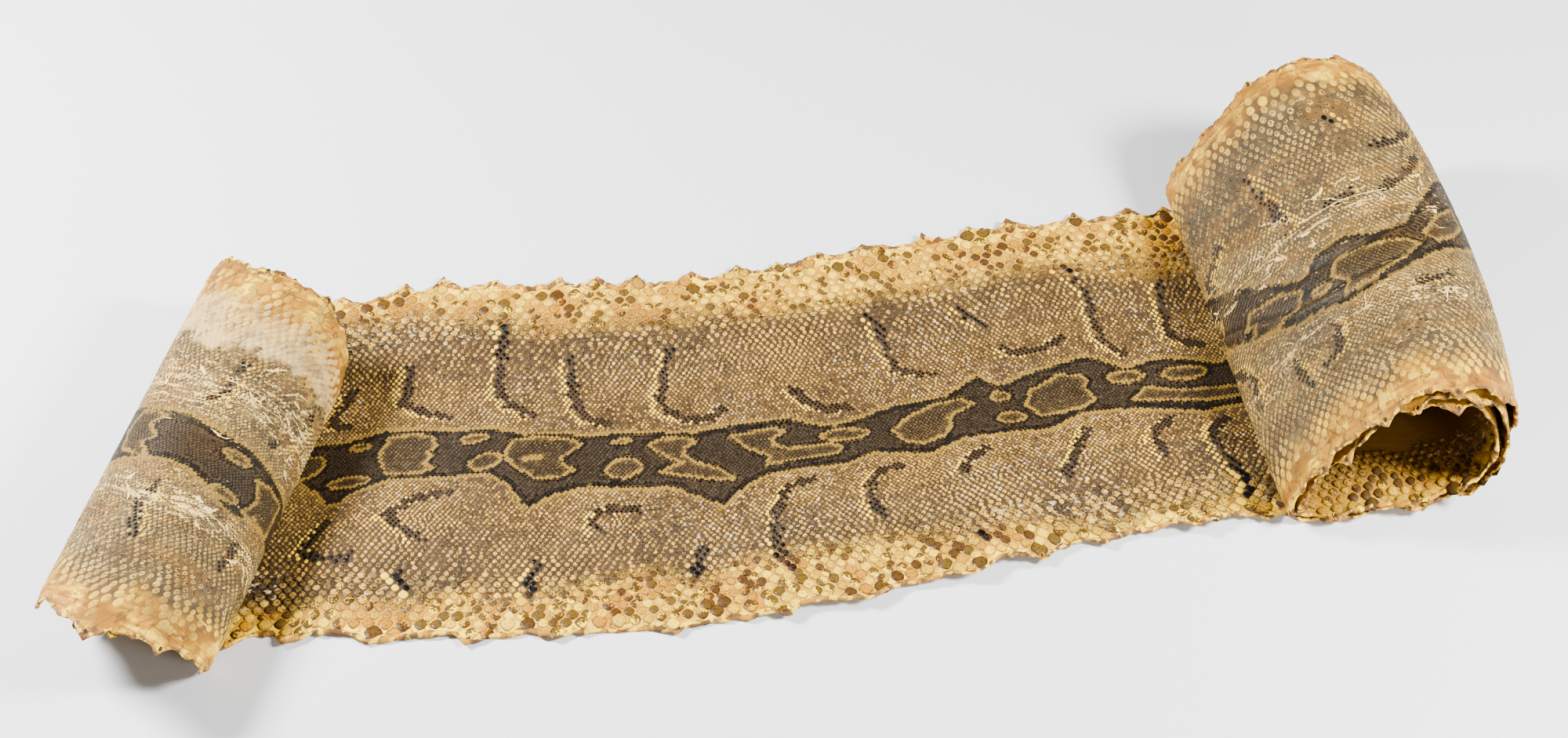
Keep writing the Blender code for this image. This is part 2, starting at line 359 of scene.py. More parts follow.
def roll_profile(outline, gaps, turns):
    """A roll's cross-section: length along the hide, and position there."""
    ring, inward = closed_curve(outline)
    step = np.arange(int(turns * LOOP_SAMPLES) + 1)
    phase = (step % LOOP_SAMPLES) / LOOP_SAMPLES
    gap = np.interp(phase * len(gaps), range(len(gaps) + 1), list(gaps) + [gaps[0]])
    depth = gap * step / LOOP_SAMPLES
    path = ring[step % LOOP_SAMPLES] + inward[step % LOOP_SAMPLES] * depth[:, None]
    path -= path[0]
    path[:, 1] = np.maximum(path[:, 1], 0.0)
    return path_length(path), path


RIGHT_ROLL = roll_profile(RIGHT_OUTLINE, RIGHT_GAPS, RIGHT_TURNS)
LEFT_ROLL = roll_profile(LEFT_OUTLINE, LEFT_GAPS, LEFT_TURNS)
U_START = LEFT_FOLD - LEFT_ROLL[0][-1] / math.cos(SKEW)
U_END = RIGHT_FOLD + RIGHT_ROLL[0][-1]


def column_number(u):
    """Grid column at length u, with the uneven spacing of the pegs."""
    return u / COLUMN_PITCH + 0.45 * np.sin(37.0 * u) + 0.3 * np.sin(91.0 * u)


def points_between_pegs(u, columns, shift):
    """Height of the drawn-out points: 1 at a peg and 0 midway between two."""
    place = (column_number(u) + shift) / columns
    return np.abs(2.0 * (place - np.floor(place)) - 1.0) ** 2.6


def far_points(u):
    """Height of the far edge's points."""
    return PEG_HEIGHT * points_between_pegs(u, FAR_PEG_COLUMNS, 0)


def near_points(u):
    """Height of the near edge's points."""
    return PEG_HEIGHT * points_between_pegs(u, NEAR_PEG_COLUMNS, 1)


def far_line(u):
    """Distance from the datum line to the far edge, without its points."""
    flat = smooth_step((0.40 - np.abs(u)) / 0.06)
    wander = 0.012 * np.sin(9.0 * (u - 0.1)) * flat
    neck = 0.038 * smooth_step((u - 0.40) / 0.15) - 0.014 * smooth_step((u - 0.74) / 0.1)
    tail = 0.008 * smooth_step((-0.42 - u) / 0.1) - 0.032 * smooth_step((-0.66 - u) / 0.12)
    return HALF_FAR + wander + neck + tail


def near_line(u):
    """Distance from the datum line to the near edge, without its points, as a negative."""
    swell = BELLY_SWELL * bell(u, -0.06, 0.22)
    neck = 0.022 * bell(u, 0.53, 0.07) - 0.014 * smooth_step((u - 0.58) / 0.1)
    tail = 0.026 * bell(u, -0.50, 0.07) + 0.070 * smooth_step((-0.62 - u) / 0.24)
    return neck + tail - HALF_NEAR - swell


def ragged(u, seed):
    """Small nicks and lips of the cut edge between two pegs."""
    fine, coarse = field(u, 0 * u, 0.0055, seed), field(u, 0 * u, 0.017, seed + 1)
    return 0.0034 * (fine - 0.5) + 0.0034 * (coarse - 0.5)


def far_edge(u):
    """Distance from the datum line to the far edge."""
    return far_line(u) + far_points(u) + ragged(u, 11)


def near_edge(u):
    """Distance from the datum line to the near edge, as a negative."""
    return near_line(u) - near_points(u) + ragged(u, 21)


def edge_gap(u, v):
    """Distance from a point to the nearest long edge."""
    return np.minimum(far_edge(u) - v, v - near_edge(u))


def cockle(u, v):
    """Height of the drying waves, which lift the near edge off the floor in places."""
    waves = bell(u, 0.02, 0.035) + bell(u, 0.13, 0.045) + bell(u, 0.285, 0.04)
    return COCKLE * waves * smooth_step((-0.165 - v) / 0.06)


def skew_at(u):
    """Slant of the grid's columns: along the left roll's axis, then easing to square."""
    return math.tan(SKEW) * (1.0 - smooth_step((u + 0.30) / 0.45))


def lay(u, v):
    """Flesh side of the lying hide at length u and distance v across, one row a point."""
    x = u + v * skew_at(u)
    y = v
    z = cockle(u, v)

    beyond = u - RIGHT_FOLD
    barrel = 1.0 + BARREL * (0.5 - ((v - 0.02) / 0.2) ** 2)
    right_x = RIGHT_FOLD + barrel * np.interp(beyond, RIGHT_ROLL[0], RIGHT_ROLL[1][:, 0])
    right_z = np.interp(beyond, RIGHT_ROLL[0], RIGHT_ROLL[1][:, 1])

    beyond = (LEFT_FOLD - u) * math.cos(SKEW)
    out = -LEFT_FOLD * math.cos(SKEW) + np.interp(beyond, LEFT_ROLL[0], LEFT_ROLL[1][:, 0])
    squared = math.tan(SKEW) * np.maximum(beyond - LEFT_SQUARE_FROM, 0.0)
    axial = math.sin(SKEW) * u + v / math.cos(SKEW) + squared
    left_x = math.sin(SKEW) * axial - math.cos(SKEW) * out
    left_y = math.cos(SKEW) * axial + math.sin(SKEW) * out
    left_z = np.interp(beyond, LEFT_ROLL[0], LEFT_ROLL[1][:, 1])

    right, left = u > RIGHT_FOLD, u < LEFT_FOLD
    x = np.where(right, right_x, np.where(left, left_x, x))
    y = np.where(left, left_y, y)
    z = np.where(right, right_z, np.where(left, left_z, z))
    return np.stack([x, y, z], axis=-1)


def centre_shift():
    """Move from the layout's own datum to the place of the solid."""
    u, across = np.meshgrid(np.linspace(U_START, U_END, 1500), np.linspace(0.0, 1.0, 9))
    smooth_far = far_line(u) + far_points(u)
    smooth_near = near_line(u) - near_points(u)
    points = lay(u, smooth_near + across * (smooth_far - smooth_near)).reshape(-1, 3)
    solid = np.array([tuple(corner) for corner in CAD_BOX])
    shift = (solid.min(axis=0) + solid.max(axis=0) - points.min(axis=0) - points.max(axis=0)) / 2
    shift[2] = solid[:, 2].min()
    return shift


SHIFT = centre_shift()


def swells(u, v):
    """Height of the soft swells of the open stretch."""
    rise = sum(height * bell(u, at_u, width_u) * bell(v, at_v, width_v)
               for height, at_u, width_u, at_v, width_v in SWELLS)
    rise = rise + 0.5 * field(u, v, 0.055, 3) * field(u, v, 0.09, 4)
    return rise * smooth_step((0.36 - np.abs(u)) / 0.06)


def wrinkles(u, v):
    """Offset of the dried wrinkles, towards the scale side, as a share of their height."""
    margin = smooth_step((0.045 - edge_gap(u, v)) / 0.045)
    open_part = smooth_step((0.37 - np.abs(u)) / 0.05)
    fold = field(u, v, 0.016, 5) - 0.5 + 0.5 * (field(u + 0.4 * v, v, 0.007, 6) - 0.5)
    fine = 0.22 * (field(u, v, 0.0055, 7) - 0.5)
    curl = 0.9 * smooth_step((0.012 - edge_gap(u, v)) / 0.012) * (field(u, 0 * u, 0.021, 8) - 0.3)
    ribs = 0.25 * (field(u, 0.2 * v, 0.03, 9) - 0.5) * (1.0 - open_part)
    off = v - back_line(u)
    reach = smooth_step((u - 0.63) / 0.05) * smooth_step((0.91 - u) / 0.04)
    bend = off + 0.006 * (field(u, v, 0.05, 45) - 0.5)
    creases = (bell(bend, -0.026, 0.0035) * smooth_step((u - 0.70) / 0.04)
               + 0.8 * bell(bend, -0.012, 0.003) - 0.9 * bell(bend, -0.019, 0.004)
               + 0.9 * bell(bend, 0.018, 0.0035) * smooth_step((0.86 - u) / 0.05)
               - 0.7 * bell(bend, 0.027, 0.005))
    ribs = ribs + 1.1 * creases * reach
    pegs = np.where(v > 0, far_points(u), near_points(u)) / PEG_HEIGHT
    tent = 1.6 * pegs * np.exp(-np.maximum(edge_gap(u, v), 0.0) / 0.011)
    return fold * margin * 1.3 + fine + ribs + curl * (0.4 + 1.4 * open_part) + tent


def place(u, v, height, sizes):
    """Point at a height above the flesh side, with the hide's swells and wrinkles."""
    reach = 0.0015
    middle = lay(u, v)
    along = lay(np.minimum(u + reach, U_END), v) - lay(np.maximum(u - reach, U_START), v)
    across = lay(u, v + reach) - lay(u, v - reach)
    normal = np.cross(along, across)
    normal /= np.linalg.norm(normal, axis=-1)[..., None]
    lift = sizes.swell * swells(u, v)
    push = height + sizes.wrinkle * wrinkles(u, v)
    flat = smooth_step((0.37 - np.abs(u)) / 0.03)
    floor_gap = np.where(flat > 0, np.maximum(push + lift, height + 0.00005), push)
    return middle + normal * np.where(flat > 0, floor_gap, push)[..., None] + SHIFT


def from_flat(x, v):
    """Length u of a point given by its true position on the spread hide."""
    u = x + 0 * v
    for _ in range(14):
        u = x - v * skew_at(u)
    return u


def to_flat(points):
    """True positions on the spread hide, in metres, of (u, v) points in millimetres."""
    points = np.array(points, float) / 1000.0
    points[:, 0] += points[:, 1] * skew_at(points[:, 0])
    return points


def distance_to_line(x, v, line, closed=False):
    """Distance on the spread hide from each point to a broken line."""
    best = np.full(x.shape, 1.0)
    ends = np.roll(line, -1, 0) if closed else line[1:]
    for (ax, av), (bx, bv) in zip(line, ends):
        dx, dv = bx - ax, bv - av
        t = np.clip(((x - ax) * dx + (v - av) * dv) / (dx * dx + dv * dv), 0.0, 1.0)
        best = np.minimum(best, np.hypot(x - ax - t * dx, v - av - t * dv))
    return best


def inside_outline(x, v, line):
    """True for each point within a closed outline."""
    inside = np.zeros(x.shape, bool)
    for (ax, av), (bx, bv) in zip(line, np.roll(line, -1, 0)):
        if av != bv:
            crosses = (av > v) != (bv > v)
            inside ^= crosses & (x < ax + (v - av) * (bx - ax) / (bv - av))
    return inside


def lens_outline(centre_u, centre_v, length, width):
    """A pointed oval."""
    turn = np.linspace(0.0, 2.0 * math.pi, 16, endpoint=False)
    across = np.sin(turn) * np.abs(np.sin(turn)) ** 0.3
    return [(centre_u + length * math.cos(a), centre_v + width * b) for a, b in zip(turn, across)]


def markings(x, u, v, jitter, strokes=True):
    """Shares of black, brown, gold and pale at each point of the spread hide."""
    v_mm, u_mm = v * 1000.0, u * 1000.0
    upper = np.interp(u_mm, *np.array(UPPER_LINE, float).T)
    lower = np.interp(u_mm, *np.array(LOWER_LINE, float).T)
    band = (v_mm < upper) & (v_mm > lower)
    rail = np.minimum(distance_to_line(x, v, to_flat(UPPER_LINE)),
                      distance_to_line(x, v, to_flat(LOWER_LINE)))
    black = band & (rail < 0.0072 + jitter)
    gold = (rail < 0.0017 + 0.5 * jitter)
    fill = np.zeros(x.shape, bool)
    for outline in BLOTCHES + [lens_outline(*lens) for lens in LENSES]:
        line = to_flat(outline)
        gap = np.full(x.shape, 1.0)
        close = (np.abs(x - line[:, 0].mean()) < 0.07) & (np.abs(v - line[:, 1].mean()) < 0.05)
        gap[close] = distance_to_line(x[close], v[close], line, closed=True)
        within = np.zeros(x.shape, bool)
        within[close] = inside_outline(x[close], v[close], line)
        gold |= gap < 0.0015 + 0.5 * jitter
        black |= band & ~within & (gap < 0.0052 + jitter) & (gap > 0.0015)
        fill |= within
    stroke = np.full(x.shape, 1.0)
    lining = np.full(x.shape, 1.0)
    for points in FLANK_STROKES if strokes else ():
        line = to_flat(points)
        stroke = np.minimum(stroke, distance_to_line(x, v, line))
        lining = np.minimum(lining, distance_to_line(x, v, line + (-0.0075, -0.0015)))
    dark = (stroke < 0.0034 + 3.5 * jitter) & ~band
    pale = (lining < 0.0026 + 3.0 * jitter) & ~band & ~dark
    black = (black & ~gold & ~fill) | (dark & ~gold)
    brown = band & ~black & ~gold
    return (black.astype(float), brown * np.where(fill, 0.88, 1.0),
            gold.astype(float), pale.astype(float))


def belly_share(u, v):
    """0 on the flanks, 1 on the belly scales along both edges."""
    far_from = 0.050 + 0.034 * smooth_step((-0.20 - u) / 0.08) + 0.012 * smooth_step((u - 0.02) / 0.1)
    far_from = far_from + 0.05 * smooth_step((u - 0.42) / 0.1)
    near_from = -0.188 - 0.010 * bell(u, -0.06, 0.22)
    uneven = 0.022 * (field(u, v, 0.03, 31) - 0.5)
    far = smooth_step((v - far_from + uneven) / 0.036)
    near = smooth_step((near_from - v + uneven) / 0.030)
    return np.maximum(far, near)


def back_line(u):
    """Distance v of the middle of the back."""
    even = np.linspace(U_START - 0.1, U_END + 0.1, 600)
    line = np.interp(even * 1000.0, *np.array(BACK_LINE, float).T) / 1000.0
    for _ in range(12):
        line[1:-1] = (line[:-2] + 2 * line[1:-1] + line[2:]) / 4
    return np.interp(u, even, line)


def settle_row(row, length_from, length_to, pitch):
    """Scales of a new row, spaced evenly but falling between those of the last row."""
    count = int(round((length_to - length_from) / pitch))
    x = length_from + (np.arange(count) + 0.5) * (length_to - length_from) / count
    if row is None:
        return x
    between = (row[1:] + row[:-1]) / 2
    for _ in range(30):
        right = np.clip(np.searchsorted(between, x), 1, len(between) - 1)
        nearest = np.where(x - between[right - 1] < between[right] - x,
                           between[right - 1], between[right])
        x = x + 0.30 * (nearest - x)
        x[1:-1] += 0.40 * ((x[2:] + x[:-2]) / 2 - x[1:-1])
    return x


def scale_lattice(sizes):
    """Centre, spacing and slant of every scale, from the middle of the back outwards."""
    rows = []
    x_from, x_to = U_START - 0.08, U_END
    first = settle_row(None, x_from, x_to, sizes.back_pitch)
    for side, line in ((1.0, far_line), (-1.0, near_line)):
        row, travel, number = first, 0.0, 0
        while travel < LATTICE_HALF:
            share = travel / LATTICE_HALF
            if number or side > 0:
                rows.append(lattice_row(row, side, line, share, sizes))
            travel += row_spacing(share, sizes)
            number += 1
            growth = (travel / LATTICE_HALF) ** 2.4
            pitch = sizes.back_pitch + (sizes.belly_pitch - sizes.back_pitch) * growth
            row = settle_row(row, x_from, x_to, pitch)
    whole = {key: np.concatenate([part[key] for part in rows]) for key in rows[0]}
    return choose(whole, (whole["u"] > U_START + 0.008) & (whole["u"] < U_END - 0.008))


def row_spacing(share, sizes):
    """Spacing of the rows at a share of the way from back to edge."""
    return sizes.back_row + (sizes.belly_row - sizes.back_row) * share ** 2.6


def lattice_row(x, side, line, share, sizes):
    """One row of the lattice, at a fixed share of the way from back to edge."""
    u = x.copy()
    for _ in range(16):
        middle = back_line(u)
        v = middle + share * (line(u) - middle)
        u = x - v * skew_at(u)
    reach = np.abs(line(u) - middle)
    row_step = row_spacing(share, sizes) * reach / LATTICE_HALF
    pitch = np.gradient(x)
    return {"x": x, "u": u, "v": v, "pitch": pitch, "row": row_step,
            "slant": np.arctan(np.gradient(v, x)), "share": share + 0 * x, "side": side + 0 * x}


def choose(lattice, keep):
    """The scales of a lattice for which keep is true."""
    return {key: values[keep] for key, values in lattice.items()}


def mesh_object(name, points, faces, attributes, material):
    """A smooth mesh from points and arrays of faces, with its attributes and UV map."""
    mesh = bpy.data.meshes.new(name)
    corners = np.concatenate([part.ravel() for part in faces]).astype(np.int32)
    counts = np.concatenate([np.full(len(part), part.shape[1]) for part in faces])
    starts = np.concatenate([[0], np.cumsum(counts)[:-1]]).astype(np.int32)
    mesh.vertices.add(len(points))
    mesh.vertices.foreach_set("co", points.astype(np.float32).ravel())
    mesh.loops.add(len(corners))
    mesh.loops.foreach_set("vertex_index", corners)
    mesh.polygons.add(len(starts))
    mesh.polygons.foreach_set("loop_start", starts)
    mesh.update(calc_edges=True)
    mesh.validate()
    for key, values in attributes.items():
        if key == "sheet_uv":
            layer = mesh.uv_layers.new(name="OFBake")
            layer.data.foreach_set("uv", values[corners].astype(np.float32).ravel())
        elif values.shape[1] == 4:
            layer = mesh.attributes.new(key, "FLOAT_COLOR", "POINT")
            layer.data.foreach_set("color", values.astype(np.float32).ravel())
        else:
            layer = mesh.attributes.new(key, "FLOAT_VECTOR", "POINT")
            layer.data.foreach_set("vector", values.astype(np.float32).ravel())
    mesh.shade_smooth()
    mesh.materials.append(material)
    piece = bpy.data.objects.new(name, mesh)
    bpy.context.scene.collection.objects.link(piece)
    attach(piece, "root")
    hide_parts("skin")
    return piece


def bake_map(u, v, low, high):
    """Places on the flat map of one piece."""
    across = (v + 0.32) / 0.52
    along = (u - low) / (high - low)
    return np.stack([along * 0.98 + 0.01, across * 0.98 + 0.01], axis=1)


def packed(*values):
    """Up to four values for each point, side by side, with zeros for the rest."""
    columns = [np.ravel(value) for value in values]
    columns += [np.zeros(len(columns[0]))] * (4 - len(columns))
    return np.stack(columns, axis=1)


def spread_of(x, v, layer=0.0):
    """Where the grain of the materials is looked up, on the spread hide."""
    return np.stack([x.ravel(), v.ravel(), layer + 0 * x.ravel()], axis=1)


def tube_faces(rows, sides):
    """Faces between rows of points, each row a closed ring."""
    row, here = np.meshgrid(np.arange(rows - 1), np.arange(sides), indexing="ij")
    following = (here + 1) % sides
    return np.stack([row * sides + here, (row + 1) * sides + here,
                     (row + 1) * sides + following, row * sides + following], axis=-1).reshape(-1, 4)


def copies(faces, count, points_each):
    """The same faces for each of several shapes."""
    starts = (np.arange(count) * points_each)[:, None, None]
    return (starts + faces[None]).reshape(-1, faces.shape[1])


# --- materials ---------------------------------------------------------------------


def new_material(name, roughness, specular):
    """A material with its tree and its surface shader."""
    material = bpy.data.materials.new(name)
    material.use_nodes = True
    tree = material.node_tree
    shader = tree.nodes["Principled BSDF"]
    shader.inputs["Roughness"].default_value = roughness
    shader.inputs["Specular IOR Level"].default_value = specular
    return material, tree, shader


def plug(tree, source, socket):
    """Put a link, a colour or a number on a socket."""
    if hasattr(source, "is_output"):
        tree.links.new(source, socket)
    elif isinstance(source, (int, float)):
        socket.default_value = source
    else:
        socket.default_value = (*tuple(source)[:3], 1.0)


def mix(tree, factor, first, second, how="MIX"):
    """Blend two colours."""
    node = tree.nodes.new("ShaderNodeMix")
    node.data_type = "RGBA"
    node.blend_type = how
    plug(tree, factor, node.inputs[0])
    plug(tree, first, node.inputs[6])
    plug(tree, second, node.inputs[7])
    return node.outputs[2]


def sums(tree, how, first, second=0.0, third=0.0):
    """Arithmetic on one, two or three values."""
    node = tree.nodes.new("ShaderNodeMath")
    node.operation = how
    plug(tree, first, node.inputs[0])
    plug(tree, second, node.inputs[1])
    plug(tree, third, node.inputs[2])
    return node.outputs[0]


def times(tree, first, second):
    """Product of two values."""
    return sums(tree, "MULTIPLY", first, second)


def coats(tree, base, layers):
    """Lay colours over a base, each as (share, strength, colour)."""
    for share, strength, colour_of in layers:
        base = mix(tree, times(tree, share, strength), base, colour_of)
    return base


def ramp(tree, value, low, high, to_low=0.0, to_high=1.0):
    """Ease a value from one range to another, held at both ends."""
    node = tree.nodes.new("ShaderNodeMapRange")
    node.interpolation_type = "SMOOTHSTEP"
    for socket, number in zip(node.inputs, (value, low, high, to_low, to_high)):
        plug(tree, number, socket)
    return node.outputs[0]


def channels(tree, name):
    """The four numbers of a colour attribute."""
    source = tree.nodes.new("ShaderNodeAttribute")
    source.attribute_name = name
    split = tree.nodes.new("ShaderNodeSeparateColor")
    tree.links.new(source.outputs["Color"], split.inputs[0])
    return (*split.outputs[:3], source.outputs["Alpha"])


def grain(tree, per_metre, detail=2.0, stretch=(1.0, 1.0), turn=0.0, seed=0.0):
    """Noise over the spread hide, with so many bumps a metre."""
    source = tree.nodes.new("ShaderNodeAttribute")
    source.attribute_name = "spread"
    mapping = tree.nodes.new("ShaderNodeMapping")
    mapping.inputs["Location"].default_value = (seed, seed, seed)
    mapping.inputs["Rotation"].default_value = (0.0, 0.0, turn)
    mapping.inputs["Scale"].default_value = (stretch[0], stretch[1], 1.0)
    noise = tree.nodes.new("ShaderNodeTexNoise")
    noise.inputs["Scale"].default_value = per_metre
    noise.inputs["Detail"].default_value = detail
    tree.links.new(source.outputs["Vector"], mapping.inputs["Vector"])
    tree.links.new(mapping.outputs["Vector"], noise.inputs["Vector"])
    return noise.outputs[0]


def relief(tree, shader, height, distance, strength=1.0):
    """Fine relief on the shader."""
    bump = tree.nodes.new("ShaderNodeBump")
    bump.inputs["Distance"].default_value = distance
    bump.inputs["Strength"].default_value = strength
    plug(tree, height, bump.inputs["Height"])
    tree.links.new(bump.outputs[0], shader.inputs["Normal"])


def rusty_share(tree):
    """Where rust warms the flesh side."""
    streaks = grain(tree, 55.0, 5.0, (0.3, 1.0), 0.5, seed=16.0)
    return ramp(tree, streaks, 0.50, 0.60, 0.0, 0.40)


def smoky_grey(tree, colours, most):
    """Grey membrane with slate patches, whose strength is at most that given."""
    patches = ramp(tree, grain(tree, 60.0, 5.0, seed=18.0), 0.50, 0.60, 0.0, most)
    return mix(tree, patches, colours.flesh_grey, colours.slate)


def scratches(tree):
    """Long fine scratches of the flesh side."""
    return grain(tree, 330.0, 4.0, (0.16, 1.0), 0.5, seed=12.0)


def torn_share(tree, scratch, film):
    """Where torn membrane shows white."""
    torn = sums(tree, "ADD", scratch, times(tree, film, 0.14))
    return ramp(tree, torn, 0.69, 0.74, 0.0, 0.75)


def scale_material(colours):
    """Dried scales: tan, dark, gold and belly ones, speckled and stained, with painted shade at their
    rims, painted silvery glints and a painted amber glow inside the rolls.
    """
    material, tree, shader = new_material("scales", 0.42, 0.17)
    black, brown, gold, pale = channels(tree, "marks")
    tone, belly, yellow, edge = channels(tree, "tints")
    stain, shine, amber, _ = channels(tree, "wear_and_light")
    tan = mix(tree, tone, colours.tan_deep, colours.tan_pale)
    tan = mix(tree, times(tree, pale, 0.85), tan, colours.cream)
    cream = mix(tree, yellow, colours.cream, colours.yellow)
    cream = mix(tree, ramp(tree, tone, 0.35, 0.0, 0.0, 0.45), cream, colours.amber)
    base = mix(tree, belly, tan, cream)
    # The amber coat is painted glow inside the rolls, standing in for light shining through the hide.
    base = coats(tree, base, ((brown, 1.0, colours.brown), (gold, 0.9, colours.gold),
                              (black, 1.0, colours.black), (amber, 0.75, colours.amber)))
    jagged = sums(tree, "ADD", stain, times(tree, grain(tree, 520.0, 3.0, seed=4.0), 0.9))
    base = mix(tree, ramp(tree, jagged, 0.97, 1.03, 0.0, 0.93), base, colours.stain)
    freckle = ramp(tree, grain(tree, 520.0, 1.0, seed=9.0), 0.545, 0.575)
    marked = sums(tree, "MAXIMUM", gold, sums(tree, "MAXIMUM", black, pale))
    freckle = times(tree, freckle, ramp(tree, marked, 0.2, 1.0, 0.85, 0.25))
    freckle = times(tree, freckle, ramp(tree, belly, 0.0, 1.0, 1.0, 0.5))
    base = mix(tree, freckle, base, colours.black)
    # Painted shade: the outer rim of each scale is darkened, as if shadowed where it meets the skin.
    painted_rim_shade = ramp(tree, edge, 0.62, 0.95, 0.0, 0.95)
    painted_rim_shade = times(tree, painted_rim_shade, ramp(tree, belly, 0.0, 1.0, 1.0, 0.8))
    base = mix(tree, painted_rim_shade, base, colours.grout_back)
    # Painted highlight: small silvery glints, mostly away from the markings.
    painted_glint = ramp(tree, grain(tree, 260.0, 5.0, (0.6, 1.0), seed=2.0), 0.56, 0.62, 0.0, 0.75)
    marked = sums(tree, "MAXIMUM", brown, marked)
    painted_glint = times(tree, painted_glint, ramp(tree, marked, 0.0, 1.0, 0.8, 0.06))
    base = mix(tree, times(tree, painted_glint, shine), base, colours.glint_silver)
    plug(tree, base, shader.inputs["Base Color"])
    dull = grain(tree, 150.0, 3.0, seed=6.0)
    plug(tree, ramp(tree, dull, 0.38, 0.58, 0.20, 0.55), shader.inputs["Roughness"])
    relief(tree, shader, grain(tree, 1300.0, 3.0, (0.35, 1.0)), 0.00022, 0.7)
    return material


def scaly_side(tree, colours, marks, belly, margin, cloud, fibre):
    """Skin between the scales, and the bare margin beyond them."""
    dark, gold = marks
    scaly = mix(tree, belly, colours.grout, colours.grout_edge)
    scaly = coats(tree, scaly, ((dark, 1.0, colours.grout_back), (gold, 0.5, colours.gold)))
    cloudy = ramp(tree, cloud, 0.35, 0.7, 0.0, 0.45)
    scaly = mix(tree, cloudy, scaly, colours.grout_back, "SOFT_LIGHT")
    bare = mix(tree, ramp(tree, cloud, 0.45, 0.62), colours.cream, colours.yellow)
    bare = mix(tree, ramp(tree, fibre, 0.56, 0.62, 0.0, 0.8), bare, colours.stain)
    return mix(tree, margin, scaly, bare)


def flesh_side(tree, colours, marks, grey, margin, film, cloud, fibre):
    """Flesh side: rusty and smoky patches, a peach margin and torn white membrane."""
    dark, gold = marks
    pale = ramp(tree, cloud, 0.45, 0.75, 0.0, 0.12)
    inner = mix(tree, pale, colours.flesh, colours.flesh_grey)
    inner = coats(tree, inner, ((rusty_share(tree), 1.0, colours.rust),
                                (dark, 0.9, colours.black), (gold, 0.55, colours.gold),
                                (grey, 1.0, smoky_grey(tree, colours, 0.75))))
    dry = ramp(tree, cloud, 0.47, 0.64, 0.0, 0.85)
    peach = mix(tree, dry, colours.flesh_edge, colours.cream)
    rusty = ramp(tree, grain(tree, 38.0, 5.0, seed=7.0), 0.47, 0.60, 0.0, 0.75)
    streaky = ramp(tree, fibre, 0.47, 0.62, 0.0, 0.8)
    peach = coats(tree, peach, ((rusty, 1.0, colours.rust), (streaky, 1.0, colours.rust)))
    torn = torn_share(tree, scratches(tree), film)
    return coats(tree, inner, ((margin, 1.0, peach), (torn, 1.0, colours.membrane)))


def leather_material(colours):
    """Dried hide: skin between the scales on one side, the flesh side on the other, with a painted
    amber glow inside the rolls.
    """
    material, tree, shader = new_material("leather", 0.6, 0.12)
    black, brown, gold, _ = channels(tree, "marks")
    flesh, belly, margin, grey = channels(tree, "tints")
    film, amber, rim, _ = channels(tree, "wear_and_light")
    cloud = grain(tree, 45.0, 4.0, seed=1.0)
    fibre = grain(tree, 210.0, 5.0, (0.28, 1.0), 0.35, seed=3.0)
    marks = (sums(tree, "MAXIMUM", black, brown), gold)
    scaly = scaly_side(tree, colours, marks, belly, margin, cloud, fibre)
    inner = flesh_side(tree, colours, marks, grey, margin, film, cloud, fibre)
    veins = grain(tree, 75.0, 6.0, (1.0, 0.45), 0.6, seed=5.0)
    veins = times(tree, ramp(tree, veins, 0.5, 0.53), ramp(tree, veins, 0.56, 0.53))
    # The amber coat is painted glow inside the rolls, standing in for light shining through the
    # layered hide.
    base = coats(tree, mix(tree, flesh, scaly, inner),
                 ((times(tree, veins, margin), 0.8, colours.rim),
                  (rim, 0.75, colours.rim), (amber, 0.7, colours.amber)))
    plug(tree, base, shader.inputs["Base Color"])
    plug(tree, ramp(tree, fibre, 0.3, 0.7, 0.48, 0.72), shader.inputs["Roughness"])
    pores = times(tree, grain(tree, 700.0, 3.0, seed=8.0), 0.5)
    folds = times(tree, grain(tree, 80.0, 3.0, (1.0, 0.6), seed=15.0), margin)
    height = sums(tree, "ADD", sums(tree, "ADD", fibre, pores), times(tree, folds, 3.0))
    relief(tree, shader, height, 0.0009, 0.85)
    return material


